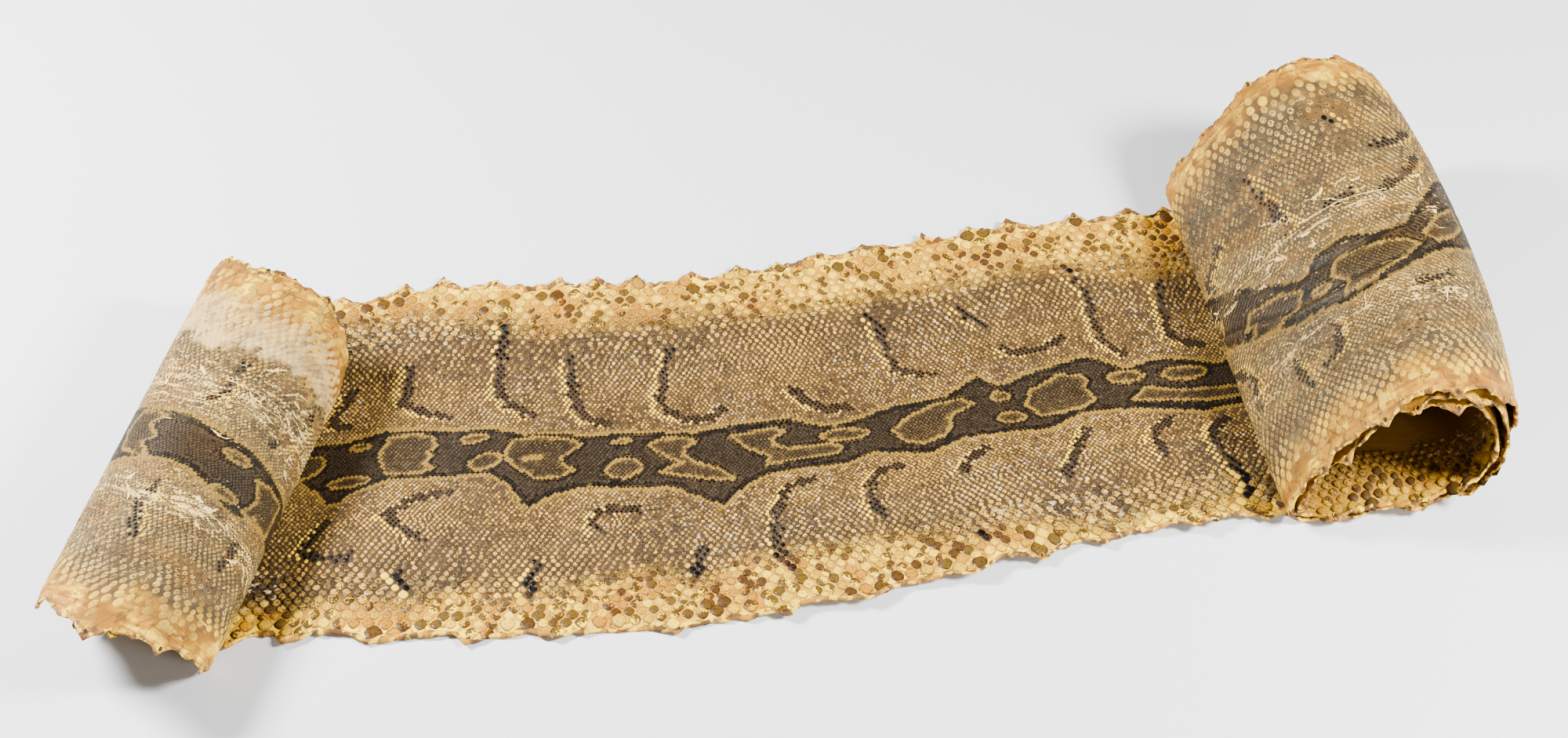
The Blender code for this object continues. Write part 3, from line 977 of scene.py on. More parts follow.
def cell_material(colours):
    """Undersides of the scales, seen through the flesh side, with painted shade round the rim of each
    cell.
    """
    material, tree, shader = new_material("cells", 0.5, 0.14)
    black, brown, gold, pale = channels(tree, "marks")
    tone, peach, fade, edge = channels(tree, "tints")
    film = channels(tree, "wear_and_light")[0]
    base = mix(tree, tone, colours.cell_deep, colours.cell_pale)
    base = mix(tree, rusty_share(tree), base, colours.rust)
    dimple = sums(tree, "ADD", times(tree, grain(tree, 300.0, 2.0, seed=14.0), 1.1), edge)
    base = mix(tree, ramp(tree, dimple, 0.72, 0.84, 0.9, 0.0), base, colours.cell_deep)
    freckle = ramp(tree, grain(tree, 560.0, 1.0, seed=9.0), 0.56, 0.59, 0.0, 0.9)
    # Painted shade: the rim of each cell is darkened to the flesh colour, as if shadowed.
    painted_rim_shade = ramp(tree, edge, 0.66, 0.95, 0.0, 0.9)
    scratch = scratches(tree)
    torn = torn_share(tree, scratch, film)
    base = coats(tree, base, ((pale, 0.6, colours.cream), (brown, 0.97, colours.brown),
                              (gold, 0.75, colours.gold), (black, 1.0, colours.black),
                              (freckle, 1.0, colours.black), (painted_rim_shade, 1.0, colours.flesh),
                              (torn, 1.0, colours.membrane)))
    faded = mix(tree, ramp(tree, grain(tree, 45.0, 4.0, seed=1.0), 0.42, 0.64, 0.25, 0.8),
                colours.flesh_edge, colours.cream)
    faded = mix(tree, peach, smoky_grey(tree, colours, 0.6), faded)
    base = mix(tree, fade, base, faded)
    plug(tree, base, shader.inputs["Base Color"])
    plug(tree, ramp(tree, scratch, 0.3, 0.7, 0.38, 0.62), shader.inputs["Roughness"])
    relief(tree, shader, grain(tree, 900.0, 3.0), 0.0003, 0.7)
    return material


def rim_material(colours):
    """Crust of the cut edge: orange-brown, darker in its folds."""
    material, tree, shader = new_material("rim crust", 0.55, 0.2)
    cloud = grain(tree, 90.0, 4.0)
    fine = grain(tree, 500.0, 4.0, seed=3.0)
    base = mix(tree, ramp(tree, cloud, 0.44, 0.60), colours.rim, colours.flesh_edge)
    base = mix(tree, ramp(tree, fine, 0.56, 0.7, 0.0, 0.6), base, colours.stain)
    dried = ramp(tree, grain(tree, 160.0, 3.0, seed=8.0), 0.50, 0.6, 0.0, 0.7)
    base = mix(tree, dried, base, colours.cream)
    plug(tree, base, shader.inputs["Base Color"])
    plug(tree, ramp(tree, fine, 0.3, 0.7, 0.45, 0.7), shader.inputs["Roughness"])
    relief(tree, shader, fine, 0.0006, 0.8)
    return material


def hole_shade_material(colours):
    """Painted shade: a near-black plug that stands in for the shadowed inside of a peg hole."""
    material, tree, shader = new_material("peg hole shade", 0.8, 0.2)
    base = mix(tree, grain(tree, 700.0, 2.0), colours.hole_shade, colours.rim)
    plug(tree, base, shader.inputs["Base Color"])
    return material


def membrane_material(colours):
    """Dry white membrane."""
    material, tree, shader = new_material("membrane", 0.55, 0.2)
    stained = ramp(tree, grain(tree, 120.0, 3.0), 0.4, 0.65)
    base = mix(tree, stained, colours.membrane, colours.flesh_grey)
    plug(tree, base, shader.inputs["Base Color"])
    relief(tree, shader, grain(tree, 900.0, 3.0, (0.3, 1.0)), 0.0003, 0.7)
    return material


def floor_material(settings):
    """Plain matt floor."""
    material, tree, shader = new_material("floor", 0.9, 0.15)
    shader.inputs["Base Color"].default_value = (*settings.floor, 1.0)
    return material


def shared_material(name, make, colours):
    """A material made once and used by several pieces."""
    return bpy.data.materials.get(name) or make(colours)


# --- leather -----------------------------------------------------------------------


def across_shares(rows):
    """Shares of the way across, closer together at both edges."""
    even = np.linspace(0.0, 1.0, rows)
    return even - 0.045 * np.sin(2.0 * math.pi * even)


def leather_sheet(name, u_from, u_to, grid, scale_rows, flesh_rows, sizes, colours):
    """A closed stretch of leather: scale side, rim, flesh side and rim again."""
    columns = np.linspace(u_from, u_to, max(2, int(round((u_to - u_from) / grid))))
    top, bottom = across_shares(scale_rows), across_shares(flesh_rows)[::-1]
    share = np.concatenate([top, [1.0], bottom, [0.0]])
    side = np.concatenate([np.ones(scale_rows), [0.5], np.zeros(flesh_rows), [0.5]])
    bulge = np.concatenate([np.zeros(scale_rows), [1.0], np.zeros(flesh_rows), [-1.0]])
    u, share = np.meshgrid(columns, share, indexing="ij")
    side = np.broadcast_to(side, u.shape)
    low, high = near_edge(u), far_edge(u)
    v = low + share * (high - low)
    thin = sizes.leather * (0.65 + 0.35 * smooth_step(edge_gap(u, v) / 0.01))
    points = place(u, v + 0.0006 * bulge, side * thin, sizes)

    count = share.shape[1]
    ends = [np.arange(count)[None, ::-1], (len(columns) - 1) * count + np.arange(count)[None, :]]
    u, v, flesh = u.ravel(), v.ravel(), (side.ravel() < 0.5).astype(float)
    x = u + v * skew_at(u)
    margin = margin_share(u, v, flesh)
    # Painted glow: the scale side inside the rolls and both sides of the inner turns get amber,
    # standing in for light shining through the layered hide.
    inside = smooth_step((np.abs(u) - 0.42) / 0.05) * (1.0 - flesh)
    deep = np.maximum(smooth_step((u - RIGHT_OUTER_END) / 0.04),
                      smooth_step((LEFT_OUTER_END - u) / 0.04))
    amber = np.maximum(inside, deep) * 0.85
    cut = smooth_step((0.0025 - edge_gap(u, v)) / 0.0025)
    uv = bake_map(u, v, u_from, u_to)
    uv[:, 1] = uv[:, 1] * 0.5 + np.where(flesh > 0.5, 0.5, 0.0)
    attributes = {"marks": packed(*markings(x, u, v, 0.0, strokes=False)),
                  "tints": packed(flesh, belly_share(u, v), margin, grey_share(u, v)),
                  "wear_and_light": packed(membrane_share(u, v), amber, cut),
                  "spread": spread_of(x, v, 0.02 * flesh), "sheet_uv": uv}
    material = shared_material("leather", leather_material, colours)
    faces = [tube_faces(len(columns), count)] + ends
    return mesh_object(name, points.reshape(-1, 3), faces, attributes, material)


def margin_share(u, v, flesh):
    """1 on the bare, dried margin along the edges, 0 over the scales."""
    width = np.where(flesh > 0.5, 0.026, 0.010)
    width = width + np.where((flesh > 0.5) & (u < -0.42), 0.028, 0.0) * (v > 0)
    uneven = width * (0.5 + 0.8 * field(u, v, 0.028, 41) + 0.5 * field(u, v, 0.009, 42))
    return smooth_step((uneven + 0.3 * width - edge_gap(u, v)) / (0.9 * width))


def grey_share(u, v):
    """Bare grey membrane of the left roll's far part."""
    torn = 0.7 * field(u, v, 0.020, 43) + 0.5 * field(u, v, 0.006, 44)
    patch = bell(v, 0.081, 0.028) * 1.25 - 0.8 * torn
    return smooth_step(patch / 0.22) * smooth_step((-0.44 - u) / 0.05) * 0.8


def membrane_share(u, v):
    """Where shreds of white membrane still cling to the flesh side."""
    left = (bell(v, 0.015, 0.03) + bell(v, -0.095, 0.016)) * smooth_step((-0.52 - u) / 0.05)
    right = (bell(v, -0.01, 0.03) + bell(v, -0.12, 0.02)) * smooth_step((u - 0.6) / 0.08)
    return np.clip(left + 0.75 * right, 0.0, 1.0)


class HIDE_OT_leather(bpy.types.Operator):
    """Make the leather sheets: the open stretch and both rolls"""
    bl_idname = "hide.leather"
    bl_label = "Leather"

    def execute(self, context):
        sizes, colours = context.scene.hide_sizes, context.scene.hide_colours
        fine, coarse = sizes.grid, 2.0 * sizes.grid
        across = int(round(0.35 / fine))
        half = across // 2
        stretches = [
            ("leather_open", LEATHER_FROM, LEATHER_TO, fine, across, across // 3),
            ("leather_right_outer", LEATHER_TO, RIGHT_OUTER_END, fine, half, across),
            ("leather_right_inner", RIGHT_OUTER_END, U_END, coarse, half, half),
            ("leather_left_outer", LEFT_OUTER_END, LEATHER_FROM, fine, half, across),
            ("leather_left_inner", U_START, LEFT_OUTER_END, coarse, half, half),
        ]
        for name, u_from, u_to, grid, scale_rows, flesh_rows in stretches:
            leather_sheet(name, u_from, u_to, grid, scale_rows, flesh_rows, sizes, colours)
        return {"FINISHED"}


# --- scales ------------------------------------------------------------------------


def scale_template(corners, rings, squareness):
    """Outline and rings of one scale, as local places, and its faces.

    The places are (along, across, share of the way out), with the middle last."""
    turn = np.linspace(0.0, 2.0 * math.pi, corners, endpoint=False)
    power = 2.0 / squareness
    along = np.sign(np.cos(turn)) * np.abs(np.cos(turn)) ** power
    across = np.sign(np.sin(turn)) * np.abs(np.sin(turn)) ** power
    places = [np.stack([along * share, across * share, share + 0 * turn], axis=1) for share in rings]
    places.append(np.zeros((1, 3)))
    quads = tube_faces(len(rings), corners)[:, (0, 3, 2, 1)]
    last = (len(rings) - 1) * corners + np.arange(corners)
    middle = np.full(corners, len(rings) * corners)
    fan = np.stack([last, np.roll(last, -1), middle], axis=1)
    return np.vstack(places), quads, fan


def scale_field(name, lattice, template, cover, height, tilt, base, looks, sizes):
    """Many scales as one mesh, each laid on the hide at its place on the lattice.

    The looks are a material and the functions that work out its tints and its wear, with any painted
    glints and glow."""
    places, quads, fan = template
    material, tints_of, wear_and_light_of = looks
    count, each = len(lattice["x"]), len(places)
    along, across, out = (places[:, k][None, :] for k in range(3))
    length = (cover[0] * lattice["pitch"] * lattice["grow"])[:, None]
    width = np.minimum(cover[1] * lattice["row"], 0.54 * lattice["pitch"])
    width = (width * lattice["grow"])[:, None]
    cosine, sine = np.cos(lattice["slant"])[:, None], np.sin(lattice["slant"])[:, None]
    x = lattice["x"][:, None] + along * length * cosine - across * width * sine
    v = lattice["v"][:, None] + along * length * sine + across * width * cosine
    u = from_flat(x, v)
    dome = np.interp(out, [0.0, 0.55, 0.85, 1.0], [1.0, 0.85, 0.45, -0.35])
    rise = base + height * lattice["tall"][:, None] * dome
    rise = rise - tilt * along * (out < 0.99) * lattice["tall"][:, None]
    points = place(u, v, rise, sizes).reshape(-1, 3)
    faces = [copies(part, count, each) for part in (quads, fan)]
    if base < 0:
        faces = [part[:, ::-1] for part in faces]
    tints = np.repeat(tints_of(lattice), each, axis=0)
    tints[:, 3] = np.broadcast_to(out, (count, each)).ravel()
    uv = bake_map(u.ravel(), v.ravel(), lattice["u"].min() - 0.01, lattice["u"].max() + 0.01)
    attributes = {"marks": np.repeat(markings_of(lattice), each, axis=0), "tints": tints,
                  "sheet_uv": uv, "spread": spread_of(x, v),
                  "wear_and_light": wear_and_light_of(lattice, along, across, each)}
    return mesh_object(name, points, faces, attributes, material)


def markings_of(lattice):
    """The markings at the scales of a lattice."""
    jitter = 0.0012 * (lattice["luck"] - 0.5)
    return packed(*markings(lattice["x"], lattice["u"], lattice["v"], jitter))


def scale_tints(lattice):
    """Tone, belly and yellow of each scale; the last channel is the way out from its middle."""
    u, v = lattice["u"], lattice["v"]
    tone = 0.95 * lattice["shade"] ** 1.7 + 0.40 * field(u, v, 0.045, 51) - 0.14
    # Painted sheen: a few broad zones are made paler, standing in for light glancing off the glossy
    # scales.
    painted_sheen = (bell(u, 0.0, 0.035) * bell(v, 0.03, 0.04)
                 + bell(u, 0.14, 0.04) * bell(v, -0.17, 0.03)
                 + bell(u, -0.26, 0.04) * bell(v, -0.13, 0.025))
    tone = np.clip(tone + 0.40 * painted_sheen, 0.0, 1.0)
    yellow = smooth_step((field(u, v, 0.035, 52) * 0.7 + 0.5 * lattice["luck"] - 0.45) / 0.4)
    return packed(tone, belly_share(u, v), yellow)


def scale_wear_and_light(lattice, along, across, each):
    """Brown stain, painted silvery glints and a painted amber glow inside the rolls, at each point of
    each scale.
    """
    u, v, luck, shade = (lattice[key] for key in ("u", "v", "luck", "shade"))
    heading = 2.0 * math.pi * luck
    push = np.cos(heading)[:, None] * along + np.sin(heading)[:, None] * across
    belly = belly_share(u, v)
    likely = np.where(shade > 0.62 - 0.16 * belly, 0.58, 0.10)
    likely = np.where(shade > 0.80, 0.92, likely)
    likely = likely + 0.16 * smooth_step((np.abs(u) - 0.44) / 0.05) * (luck > 0.35)
    stain = likely[:, None] + 0.30 * push * belly[:, None]
    stain = np.where(belly[:, None] > 0.25, stain, 0.0)
    # Painted highlight: share of each scale that gets silvery glints.
    glint_share = smooth_step((field(u, v, 0.045, 54) + 0.2 * luck - 0.5) / 0.25)
    glint_share = np.repeat(glint_share * (1.0 - belly), each)
    # Painted glow: scales inside the rolls turn amber, standing in for light shining through the
    # layered hide.
    amber = 0.8 * smooth_step((np.abs(u) - 0.42) / 0.06)
    return packed(stain, glint_share, np.repeat(amber, each))


def cell_tints(lattice):
    """Tone, peach and fade of each cell; the last channel is the way out from its middle."""
    u, v = lattice["u"], lattice["v"]
    tone = np.clip(1.05 * lattice["shade"] ** 1.3 + 0.7 * field(u, v, 0.03, 55) - 0.28, 0.0, 1.0)
    gap = edge_gap(u, v)
    fade = smooth_step((0.055 - gap) / 0.035) * (0.30 + 0.6 * field(u, v, 0.02, 56))
    grey = grey_share(u, v)
    film = membrane_share(u, v) * smooth_step((field(u, v, 0.014, 57) - 0.5) / 0.25)
    fade = np.maximum(fade, np.maximum(0.9 * grey, 0.15 * film))
    peach = smooth_step((0.075 - gap) / 0.04) * (1.0 - grey)
    return packed(tone, peach, np.clip(fade, 0.0, 1.0))


def cell_wear(lattice, along, across, each):
    """White membrane at each point of each cell."""
    return packed(np.repeat(membrane_share(lattice["u"], lattice["v"]), each))


def whole_lattice(sizes):
    """The lattice with a random size, height and shade for each scale."""
    lattice = scale_lattice(sizes)
    rng = np.random.default_rng(7)
    count = len(lattice["x"])
    lattice["luck"] = rng.random(count)
    lattice["shade"] = rng.random(count)
    lattice["grow"] = 1.0 + 0.10 * (rng.random(count) - 0.5)
    lattice["tall"] = 0.75 + 0.5 * rng.random(count)
    lattice["x"] = lattice["x"] + 0.07 * lattice["pitch"] * (rng.random(count) - 0.5)
    lattice["v"] = lattice["v"] + 0.09 * lattice["row"] * (rng.random(count) - 0.5)
    lattice["slant"] = lattice["slant"] + 0.12 * (rng.random(count) - 0.5)
    lattice["gap"] = edge_gap(lattice["u"], lattice["v"])
    return lattice


LATTICES = {}


def lattice_for(sizes):
    """The one lattice that all scale pieces share, made again when its spacing changes."""
    spacing = (sizes.back_row, sizes.belly_row, sizes.back_pitch, sizes.belly_pitch)
    if spacing not in LATTICES:
        LATTICES[spacing] = whole_lattice(sizes)
    return LATTICES[spacing]


def back_of(lattice):
    """True for scales on the back, whose rows are narrow."""
    return lattice["share"] < 0.42


def belly_of(lattice):
    """True for the large scales along the edges."""
    return lattice["share"] > 0.68


def open_part(lattice, to=SCALES_TO):
    """True for scales of the open stretch."""
    return (lattice["u"] > SCALES_FROM) & (lattice["u"] < to)


def make_scales(context, name, shown_in, template, cover, height, tilt):
    """One piece of the scale side, with the scales of the lattice that shown_in picks."""
    sizes, colours = context.scene.hide_sizes, context.scene.hide_colours
    lattice = lattice_for(sizes)
    chosen = choose(lattice, shown_in(lattice))
    material = shared_material("scales", scale_material, colours)
    scale_field(name, chosen, template, cover, height, tilt, sizes.leather,
                (material, scale_tints, scale_wear_and_light), sizes)


class HIDE_OT_back_scales(bpy.types.Operator):
    """Make the fine scales along the back of the open stretch"""
    bl_idname = "hide.back_scales"
    bl_label = "Back scales"

    def execute(self, context):
        def shown(lattice):
            return open_part(lattice) & back_of(lattice)

        make_scales(context, "scales_back", shown, scale_template(8, [1.0], 1.35),
                    (0.45, 0.86), 0.00042, 0.00006)
        return {"FINISHED"}


class HIDE_OT_flank_scales(bpy.types.Operator):
    """Make the oval scales on both flanks of the open stretch"""
    bl_idname = "hide.flank_scales"
    bl_label = "Flank scales"

    def execute(self, context):
        def shown(lattice):
            return open_part(lattice) & ~back_of(lattice) & ~belly_of(lattice)

        make_scales(context, "scales_flank", shown, scale_template(8, [1.0, 0.72], 1.75),
                    (0.37, 0.68), 0.00060, 0.00010)
        return {"FINISHED"}


class HIDE_OT_belly_scales(bpy.types.Operator):
    """Make the large scales along both edges of the open stretch"""
    bl_idname = "hide.belly_scales"
    bl_label = "Belly scales"

    def execute(self, context):
        def shown(lattice):
            return open_part(lattice, BELLY_TO) & (lattice["gap"] > 0.0035) & belly_of(lattice)

        make_scales(context, "scales_belly", shown, scale_template(10, [1.0, 0.86, 0.5], 1.5),
                    (0.485, 0.97), 0.00085, 0.00035)
        return {"FINISHED"}


class HIDE_OT_mouth_scales(bpy.types.Operator):
    """Make the scales just inside the ends of both rolls"""
    bl_idname = "hide.mouth_scales"
    bl_label = "Mouth scales"

    def execute(self, context):
        def shown(lattice):
            rolled = (lattice["u"] < SCALES_FROM) | (lattice["u"] > BELLY_TO)
            reach = (lattice["gap"] > 0.0020) & (lattice["gap"] < 0.055)
            return rolled & reach & belly_of(lattice)

        make_scales(context, "scales_mouths", shown, scale_template(8, [1.0, 0.78], 1.5),
                    (0.50, 1.00), 0.00095, 0.00090)
        return {"FINISHED"}


class HIDE_OT_flesh_cells(bpy.types.Operator):
    """Make the cells that the scales leave on the flesh side of both rolls"""
    bl_idname = "hide.flesh_cells"
    bl_label = "Flesh-side cells"

    def execute(self, context):
        sizes, colours = context.scene.hide_sizes, context.scene.hide_colours
        lattice = lattice_for(sizes)
        looks = (shared_material("cells", cell_material, colours), cell_tints, cell_wear)
        inner = lattice["gap"] > 0.009 + 0.018 * lattice["luck"]
        back = lattice["share"] < 0.35
        parts = [("back", back, scale_template(6, [1.0], 1.8), (0.42, 0.74), -0.00030),
                 ("flank", inner & ~back, scale_template(8, [1.0, 0.7], 1.9), (0.36, 0.66), -0.00055)]
        rolls = [("right", (lattice["u"] > RIGHT_CELLS_FROM) & (lattice["u"] < RIGHT_OUTER_END)),
                 ("left", (lattice["u"] < LEFT_CELLS_FROM) & (lattice["u"] > LEFT_OUTER_END))]
        for side, rolled in rolls:
            for part, shown, template, cover, height in parts:
                scale_field(f"cells_{side}_{part}", choose(lattice, rolled & shown), template,
                            cover, height, 0.0, -0.00002, looks, sizes)
        return {"FINISHED"}


# --- rim, peg holes and membrane -----------------------------------------------------


def crust(name, edge, outward, material, sizes):
    """An uneven tube of dried crust along one edge."""
    u = np.linspace(U_START + 0.001, U_END - 0.001, 1150)
    turn = np.linspace(0.0, 2.0 * math.pi, 7, endpoint=False)
    thick = sizes.crust * (0.35 + 1.3 * field(u, 0 * u, 0.005, 61) * field(u, 0 * u, 0.014, 62)
                           + 0.5 * field(u, 0 * u, 0.0032, 63))
    columns, turns = np.meshgrid(u, turn, indexing="ij")
    thick = thick[:, None]
    v = edge(columns) + outward * (thick * np.cos(turns) - 0.0004)
    height = 0.5 * sizes.leather + 0.75 * thick * np.sin(turns)
    points = place(columns, v, np.maximum(height, 0.0), sizes).reshape(-1, 3)
    faces = tube_faces(len(u), len(turn))
    faces = faces[:, (0, 3, 2, 1)] if outward > 0 else faces[:, (1, 2, 3, 0)]
    mesh_object(name, points, [faces], {"spread": spread_of(columns, v)}, material)


class HIDE_OT_rim(bpy.types.Operator):
    """Make the curled crust along both long edges"""
    bl_idname = "hide.rim"
    bl_label = "Rim crust"

    def execute(self, context):
        sizes, colours = context.scene.hide_sizes, context.scene.hide_colours
        material = shared_material("rim crust", rim_material, colours)
        crust("rim_far", far_edge, 1.0, material, sizes)
        crust("rim_near", near_edge, -1.0, material, sizes)
        return {"FINISHED"}


def peg_places(columns, shift):
    """Length u of every peg along one edge."""
    fine = np.linspace(U_START + 0.012, U_END - 0.012, 30000)
    place_number = (column_number(fine) + shift) / columns
    whole = np.arange(math.ceil(place_number[0]), math.floor(place_number[-1]) + 1)
    return np.interp(whole, place_number, fine)


def turned_rings(name, u, v, size, profile, material, sizes):
    """A turned shape at each place: its profile is (radius, share of the leather)."""
    turn = np.linspace(0.0, 2.0 * math.pi, 10, endpoint=False)
    radius = np.array([point[0] for point in profile])[None, :, None]
    level = np.array([point[1] for point in profile])[None, :, None]
    out = radius * size[:, None, None]
    along = u[:, None, None] + out * np.cos(turn) * 0.8
    across = v[:, None, None] + out * np.sin(turn) * 1.1
    points = place(along, across, level * sizes.leather + 0 * along, sizes).reshape(-1, 3)
    rows, steps = len(profile), len(turn)
    faces = copies(tube_faces(rows, steps), len(u), rows * steps)
    piece = mesh_object(name, points, [faces], {"spread": spread_of(along, across)}, material)
    welded = bmesh.new()
    welded.from_mesh(piece.data)
    bmesh.ops.remove_doubles(welded, verts=welded.verts, dist=0.00002)
    welded.to_mesh(piece.data)
    welded.free()


class HIDE_OT_peg_holes(bpy.types.Operator):
    """Make the puckered rims that the drying pegs left along both edges, each hole filled with a
    near-black plug of painted shade
    """
    bl_idname = "hide.peg_holes"
    bl_label = "Peg holes"

    def execute(self, context):
        sizes, colours = context.scene.hide_sizes, context.scene.hide_colours
        far = peg_places(FAR_PEG_COLUMNS, 0)
        near = peg_places(NEAR_PEG_COLUMNS, 1)
        u = np.concatenate([far, near])
        v = np.concatenate([far_edge(far) - PEG_INSET, near_edge(near) + PEG_INSET])
        rng = np.random.default_rng(17)
        size = sizes.peg_hole * (0.8 + 0.5 * rng.random(len(u)))
        ring = [(1.0, -0.0002), (1.0, 1.0), (1.35, 1.45), (1.75, 1.2), (1.9, 0.5),
                (1.75, -0.2), (1.35, -0.45), (1.0, 0.0)]
        # The inside profile is a closed plug of painted shade filling each hole.
        inside = [(0.0, 1.08), (1.02, 1.08), (1.02, -0.08), (0.0, -0.08)]
        rim = shared_material("rim crust", rim_material, colours)
        hole_shade = shared_material("peg hole shade", hole_shade_material, colours)
        turned_rings("peg_rims", u, v, size, ring, rim, sizes)
        turned_rings("peg_holes", u, v, size, inside, hole_shade, sizes)
        return {"FINISHED"}


def shreds(name, u, v, rng, material, sizes):
    """Thin curled strips, each a flattened tube along the back's direction."""
    count, steps, sides = len(u), 13, 4
    along = np.linspace(-1.0, 1.0, steps)[None, :, None]
    turn = np.linspace(0.0, 2.0 * math.pi, sides, endpoint=False)[None, None, :]
    length = rng.uniform(0.0015, 0.015, (count, 1, 1)) * rng.uniform(0.3, 1.0, (count, 1, 1))
    uneven = rng.uniform(0.25, 1.6, (count, steps, 1)) * (1.05 - np.abs(along)) ** 0.6
    width = rng.uniform(0.0003, 0.0024, (count, 1, 1)) * uneven
    slope = np.arctan((back_line(u + 0.01) - back_line(u - 0.01)) / 0.02)[:, None, None]
    heading = slope + rng.normal(0.0, 0.5, (count, 1, 1))
    wave = 0.16 * length * np.sin(2.5 * along + rng.uniform(0.0, 6.3, (count, 1, 1)))
    wave = wave + rng.normal(0.0, 0.00025, (count, steps, 1))
    side = width * np.cos(turn) + wave
    point_u = u[:, None, None] + length * along * np.cos(heading) - side * np.sin(heading)
    point_v = v[:, None, None] + length * along * np.sin(heading) + side * np.cos(heading)
    lift = rng.uniform(0.0004, 0.0009, (count, 1, 1)) * (0.5 + np.abs(along) ** 2)
    height = -lift - 0.00018 * np.sin(turn)
    points = place(point_u, point_v, height, sizes).reshape(-1, 3)
    ends = np.array([np.arange(sides), (steps - 1) * sides + np.arange(sides)[::-1]])
    faces = copies(np.vstack([tube_faces(steps, sides), ends]), count, steps * sides)
    mesh_object(name, points, [faces], {"spread": spread_of(point_u, point_v)}, material)


class HIDE_OT_membrane(bpy.types.Operator):
    """Make the torn shreds of membrane that cling to the outside of both rolls"""
    bl_idname = "hide.membrane"
    bl_label = "Membrane shreds"

    def execute(self, context):
        sizes, colours = context.scene.hide_sizes, context.scene.hide_colours
        material = shared_material("membrane", membrane_material, colours)
        rng = np.random.default_rng(23)
        zones = [(0.62, 0.90, -0.13, 0.06, 600), (-0.76, -0.50, -0.12, 0.07, 680)]
        places = [(rng.uniform(u_from, u_to, count), rng.uniform(v_from, v_to, count))
                  for u_from, u_to, v_from, v_to, count in zones]
        u, v = np.concatenate(places, axis=1)
        patchy = smooth_step((field(u, v, 0.016, 57) - 0.48) / 0.14)
        kept = rng.random(len(u)) < 0.9 * patchy * membrane_share(u, v) ** 1.5
        shreds("membrane_shreds", u[kept], v[kept], rng, material, sizes)
        return {"FINISHED"}


# --- stage and panel ----------------------------------------------------------------


def make_floor(settings):
    """A large plain floor just under the hide."""
    reach, back, rise = 6.0, 5.0, 3.0
    profile = [(-reach, 0.0), (back, 0.0), (back + 0.8, 0.15), (back + 1.3, 0.8), (back + 1.4, rise)]
    points = [(side * reach, y, z - 0.0003) for y, z in profile for side in (-1.0, 1.0)]
    faces = [(2 * k, 2 * k + 1, 2 * k + 3, 2 * k + 2) for k in range(len(profile) - 1)]
    mesh = bpy.data.meshes.new("floor")
    mesh.from_pydata(points, [], faces)
    mesh.shade_smooth()
    mesh.materials.append(floor_material(settings))
    floor = bpy.data.objects.new("floor", mesh)
    bpy.context.scene.collection.objects.link(floor)


def make_lights(settings):
    """A soft light from each side, a weak one in front of the right roll, and a pale room."""
    for name, power, size, spot, aim in (
            ("key", settings.key, 0.5, (1.50, -0.75, 1.40), (0.1, -0.1, 0.0)),
            ("front", settings.front, 0.5, (0.95, -1.5, 0.45), (0.45, -0.15, 0.05)),
            ("fill", settings.fill, 0.5, (-1.45, 0.45, 1.25), (-0.1, 0.0, 0.0))):
        light = bpy.data.lights.new(name, "AREA")
        light.shape = "DISK"
        light.size = size
        light.energy = power
        lamp = bpy.data.objects.new(name, light)
        lamp.location = spot
        lamp.rotation_euler = (Vector(aim) - Vector(spot)).to_track_quat("-Z", "Y").to_euler()
        bpy.context.scene.collection.objects.link(lamp)
    world = bpy.data.worlds.new("room")
    world.use_nodes = True
    background = world.node_tree.nodes["Background"]
    background.inputs["Color"].default_value = (0.98, 0.99, 1.0, 1.0)
    background.inputs["Strength"].default_value = settings.sky
    bpy.context.scene.world = world


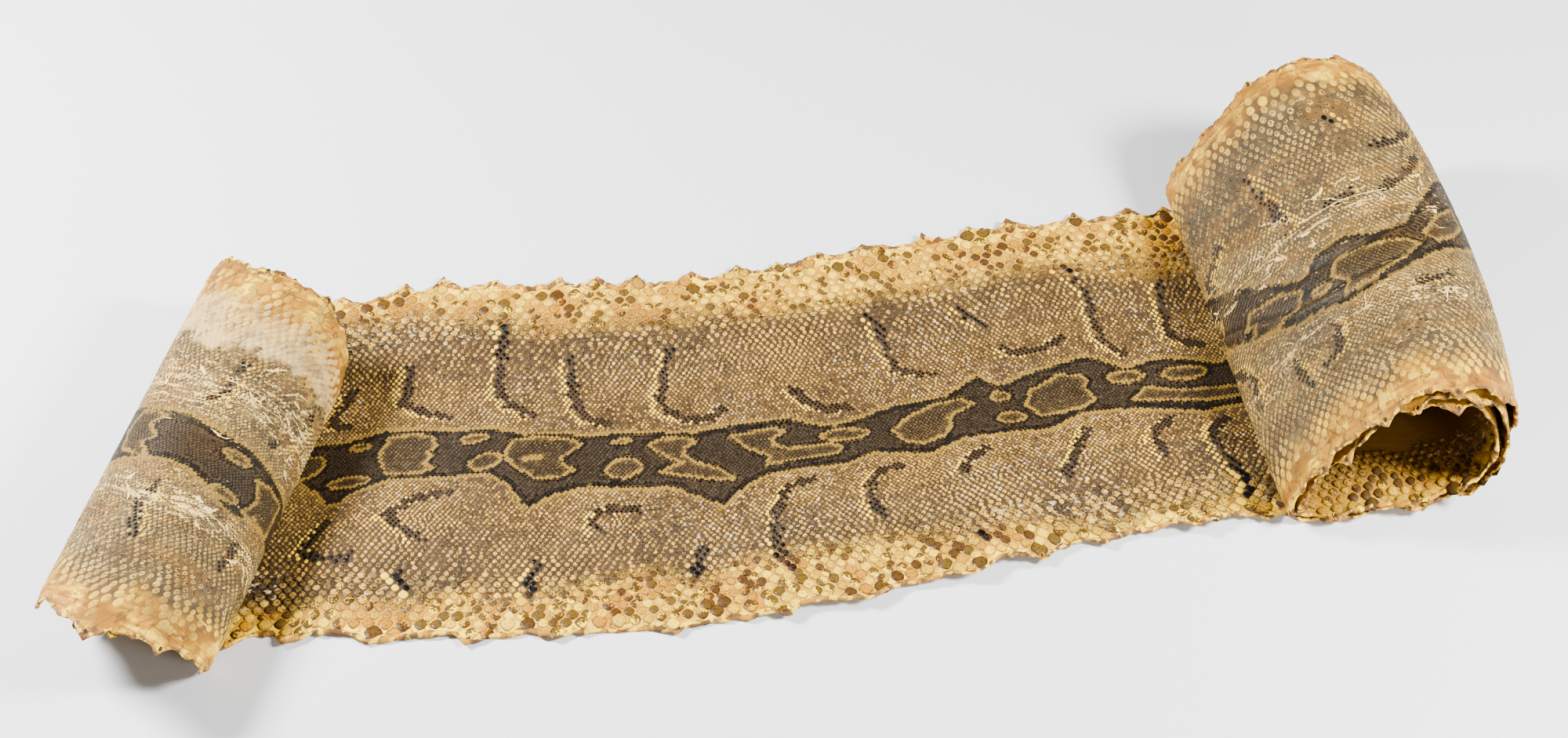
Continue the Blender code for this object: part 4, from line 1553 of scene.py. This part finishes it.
def make_camera():
    """A camera above and in front of the near edge, a little to the left."""
    from_datum, tilt, turn = (-0.2278, -1.5246, 1.5415), 45.0, -8.5
    lens = bpy.data.cameras.new("camera")
    lens.lens = 61.2
    camera = bpy.data.objects.new("camera", lens)
    camera.location = Vector(from_datum) + Vector(SHIFT)
    camera.rotation_euler = (math.radians(tilt), 0.0, math.radians(turn))
    bpy.context.scene.collection.objects.link(camera)
    bpy.context.scene.camera = camera


class HIDE_OT_stage(bpy.types.Operator):
    """Make the floor, the soft lights and the camera"""
    bl_idname = "hide.stage"
    bl_label = "Stage"

    def execute(self, context):
        settings = context.scene.hide_stage
        make_floor(settings)
        make_lights(settings)
        make_camera()
        return {"FINISHED"}


class HIDE_PT_panel(bpy.types.Panel):
    """Lists the hide's sizes, colours and pieces"""
    bl_idname = "HIDE_PT_panel"
    bl_label = "Snake Skin"
    bl_space_type = "VIEW_3D"
    bl_region_type = "UI"
    bl_category = "Snake Skin"

    def draw(self, context):
        for group in (context.scene.hide_sizes, context.scene.hide_colours, context.scene.hide_stage):
            column = self.layout.column(align=True)
            for name in group.__annotations__:
                column.prop(group, name)
        for operator in OPERATORS:
            self.layout.operator(operator.bl_idname)


OPERATORS = (HIDE_OT_leather, HIDE_OT_back_scales, HIDE_OT_flank_scales, HIDE_OT_belly_scales,
             HIDE_OT_mouth_scales, HIDE_OT_flesh_cells, HIDE_OT_rim,
             HIDE_OT_peg_holes, HIDE_OT_membrane, HIDE_OT_stage)
CLASSES = (HideSizes, HideColours, StageSettings) + OPERATORS + (HIDE_PT_panel,)


def register():
    for item in CLASSES:
        bpy.utils.register_class(item)
    bpy.types.Scene.hide_sizes = PointerProperty(type=HideSizes)
    bpy.types.Scene.hide_colours = PointerProperty(type=HideColours)
    bpy.types.Scene.hide_stage = PointerProperty(type=StageSettings)


def unregister():
    del bpy.types.Scene.hide_sizes
    del bpy.types.Scene.hide_colours
    del bpy.types.Scene.hide_stage
    for item in reversed(CLASSES):
        bpy.utils.unregister_class(item)


def main():
    register()
    bpy.ops.hide.leather()
    bpy.ops.hide.back_scales()
    bpy.ops.hide.flank_scales()
    bpy.ops.hide.belly_scales()
    bpy.ops.hide.mouth_scales()
    bpy.ops.hide.flesh_cells()
    bpy.ops.hide.rim()
    bpy.ops.hide.peg_holes()
    bpy.ops.hide.membrane()
    bpy.ops.hide.stage()


if __name__ == "__main__":
    main()
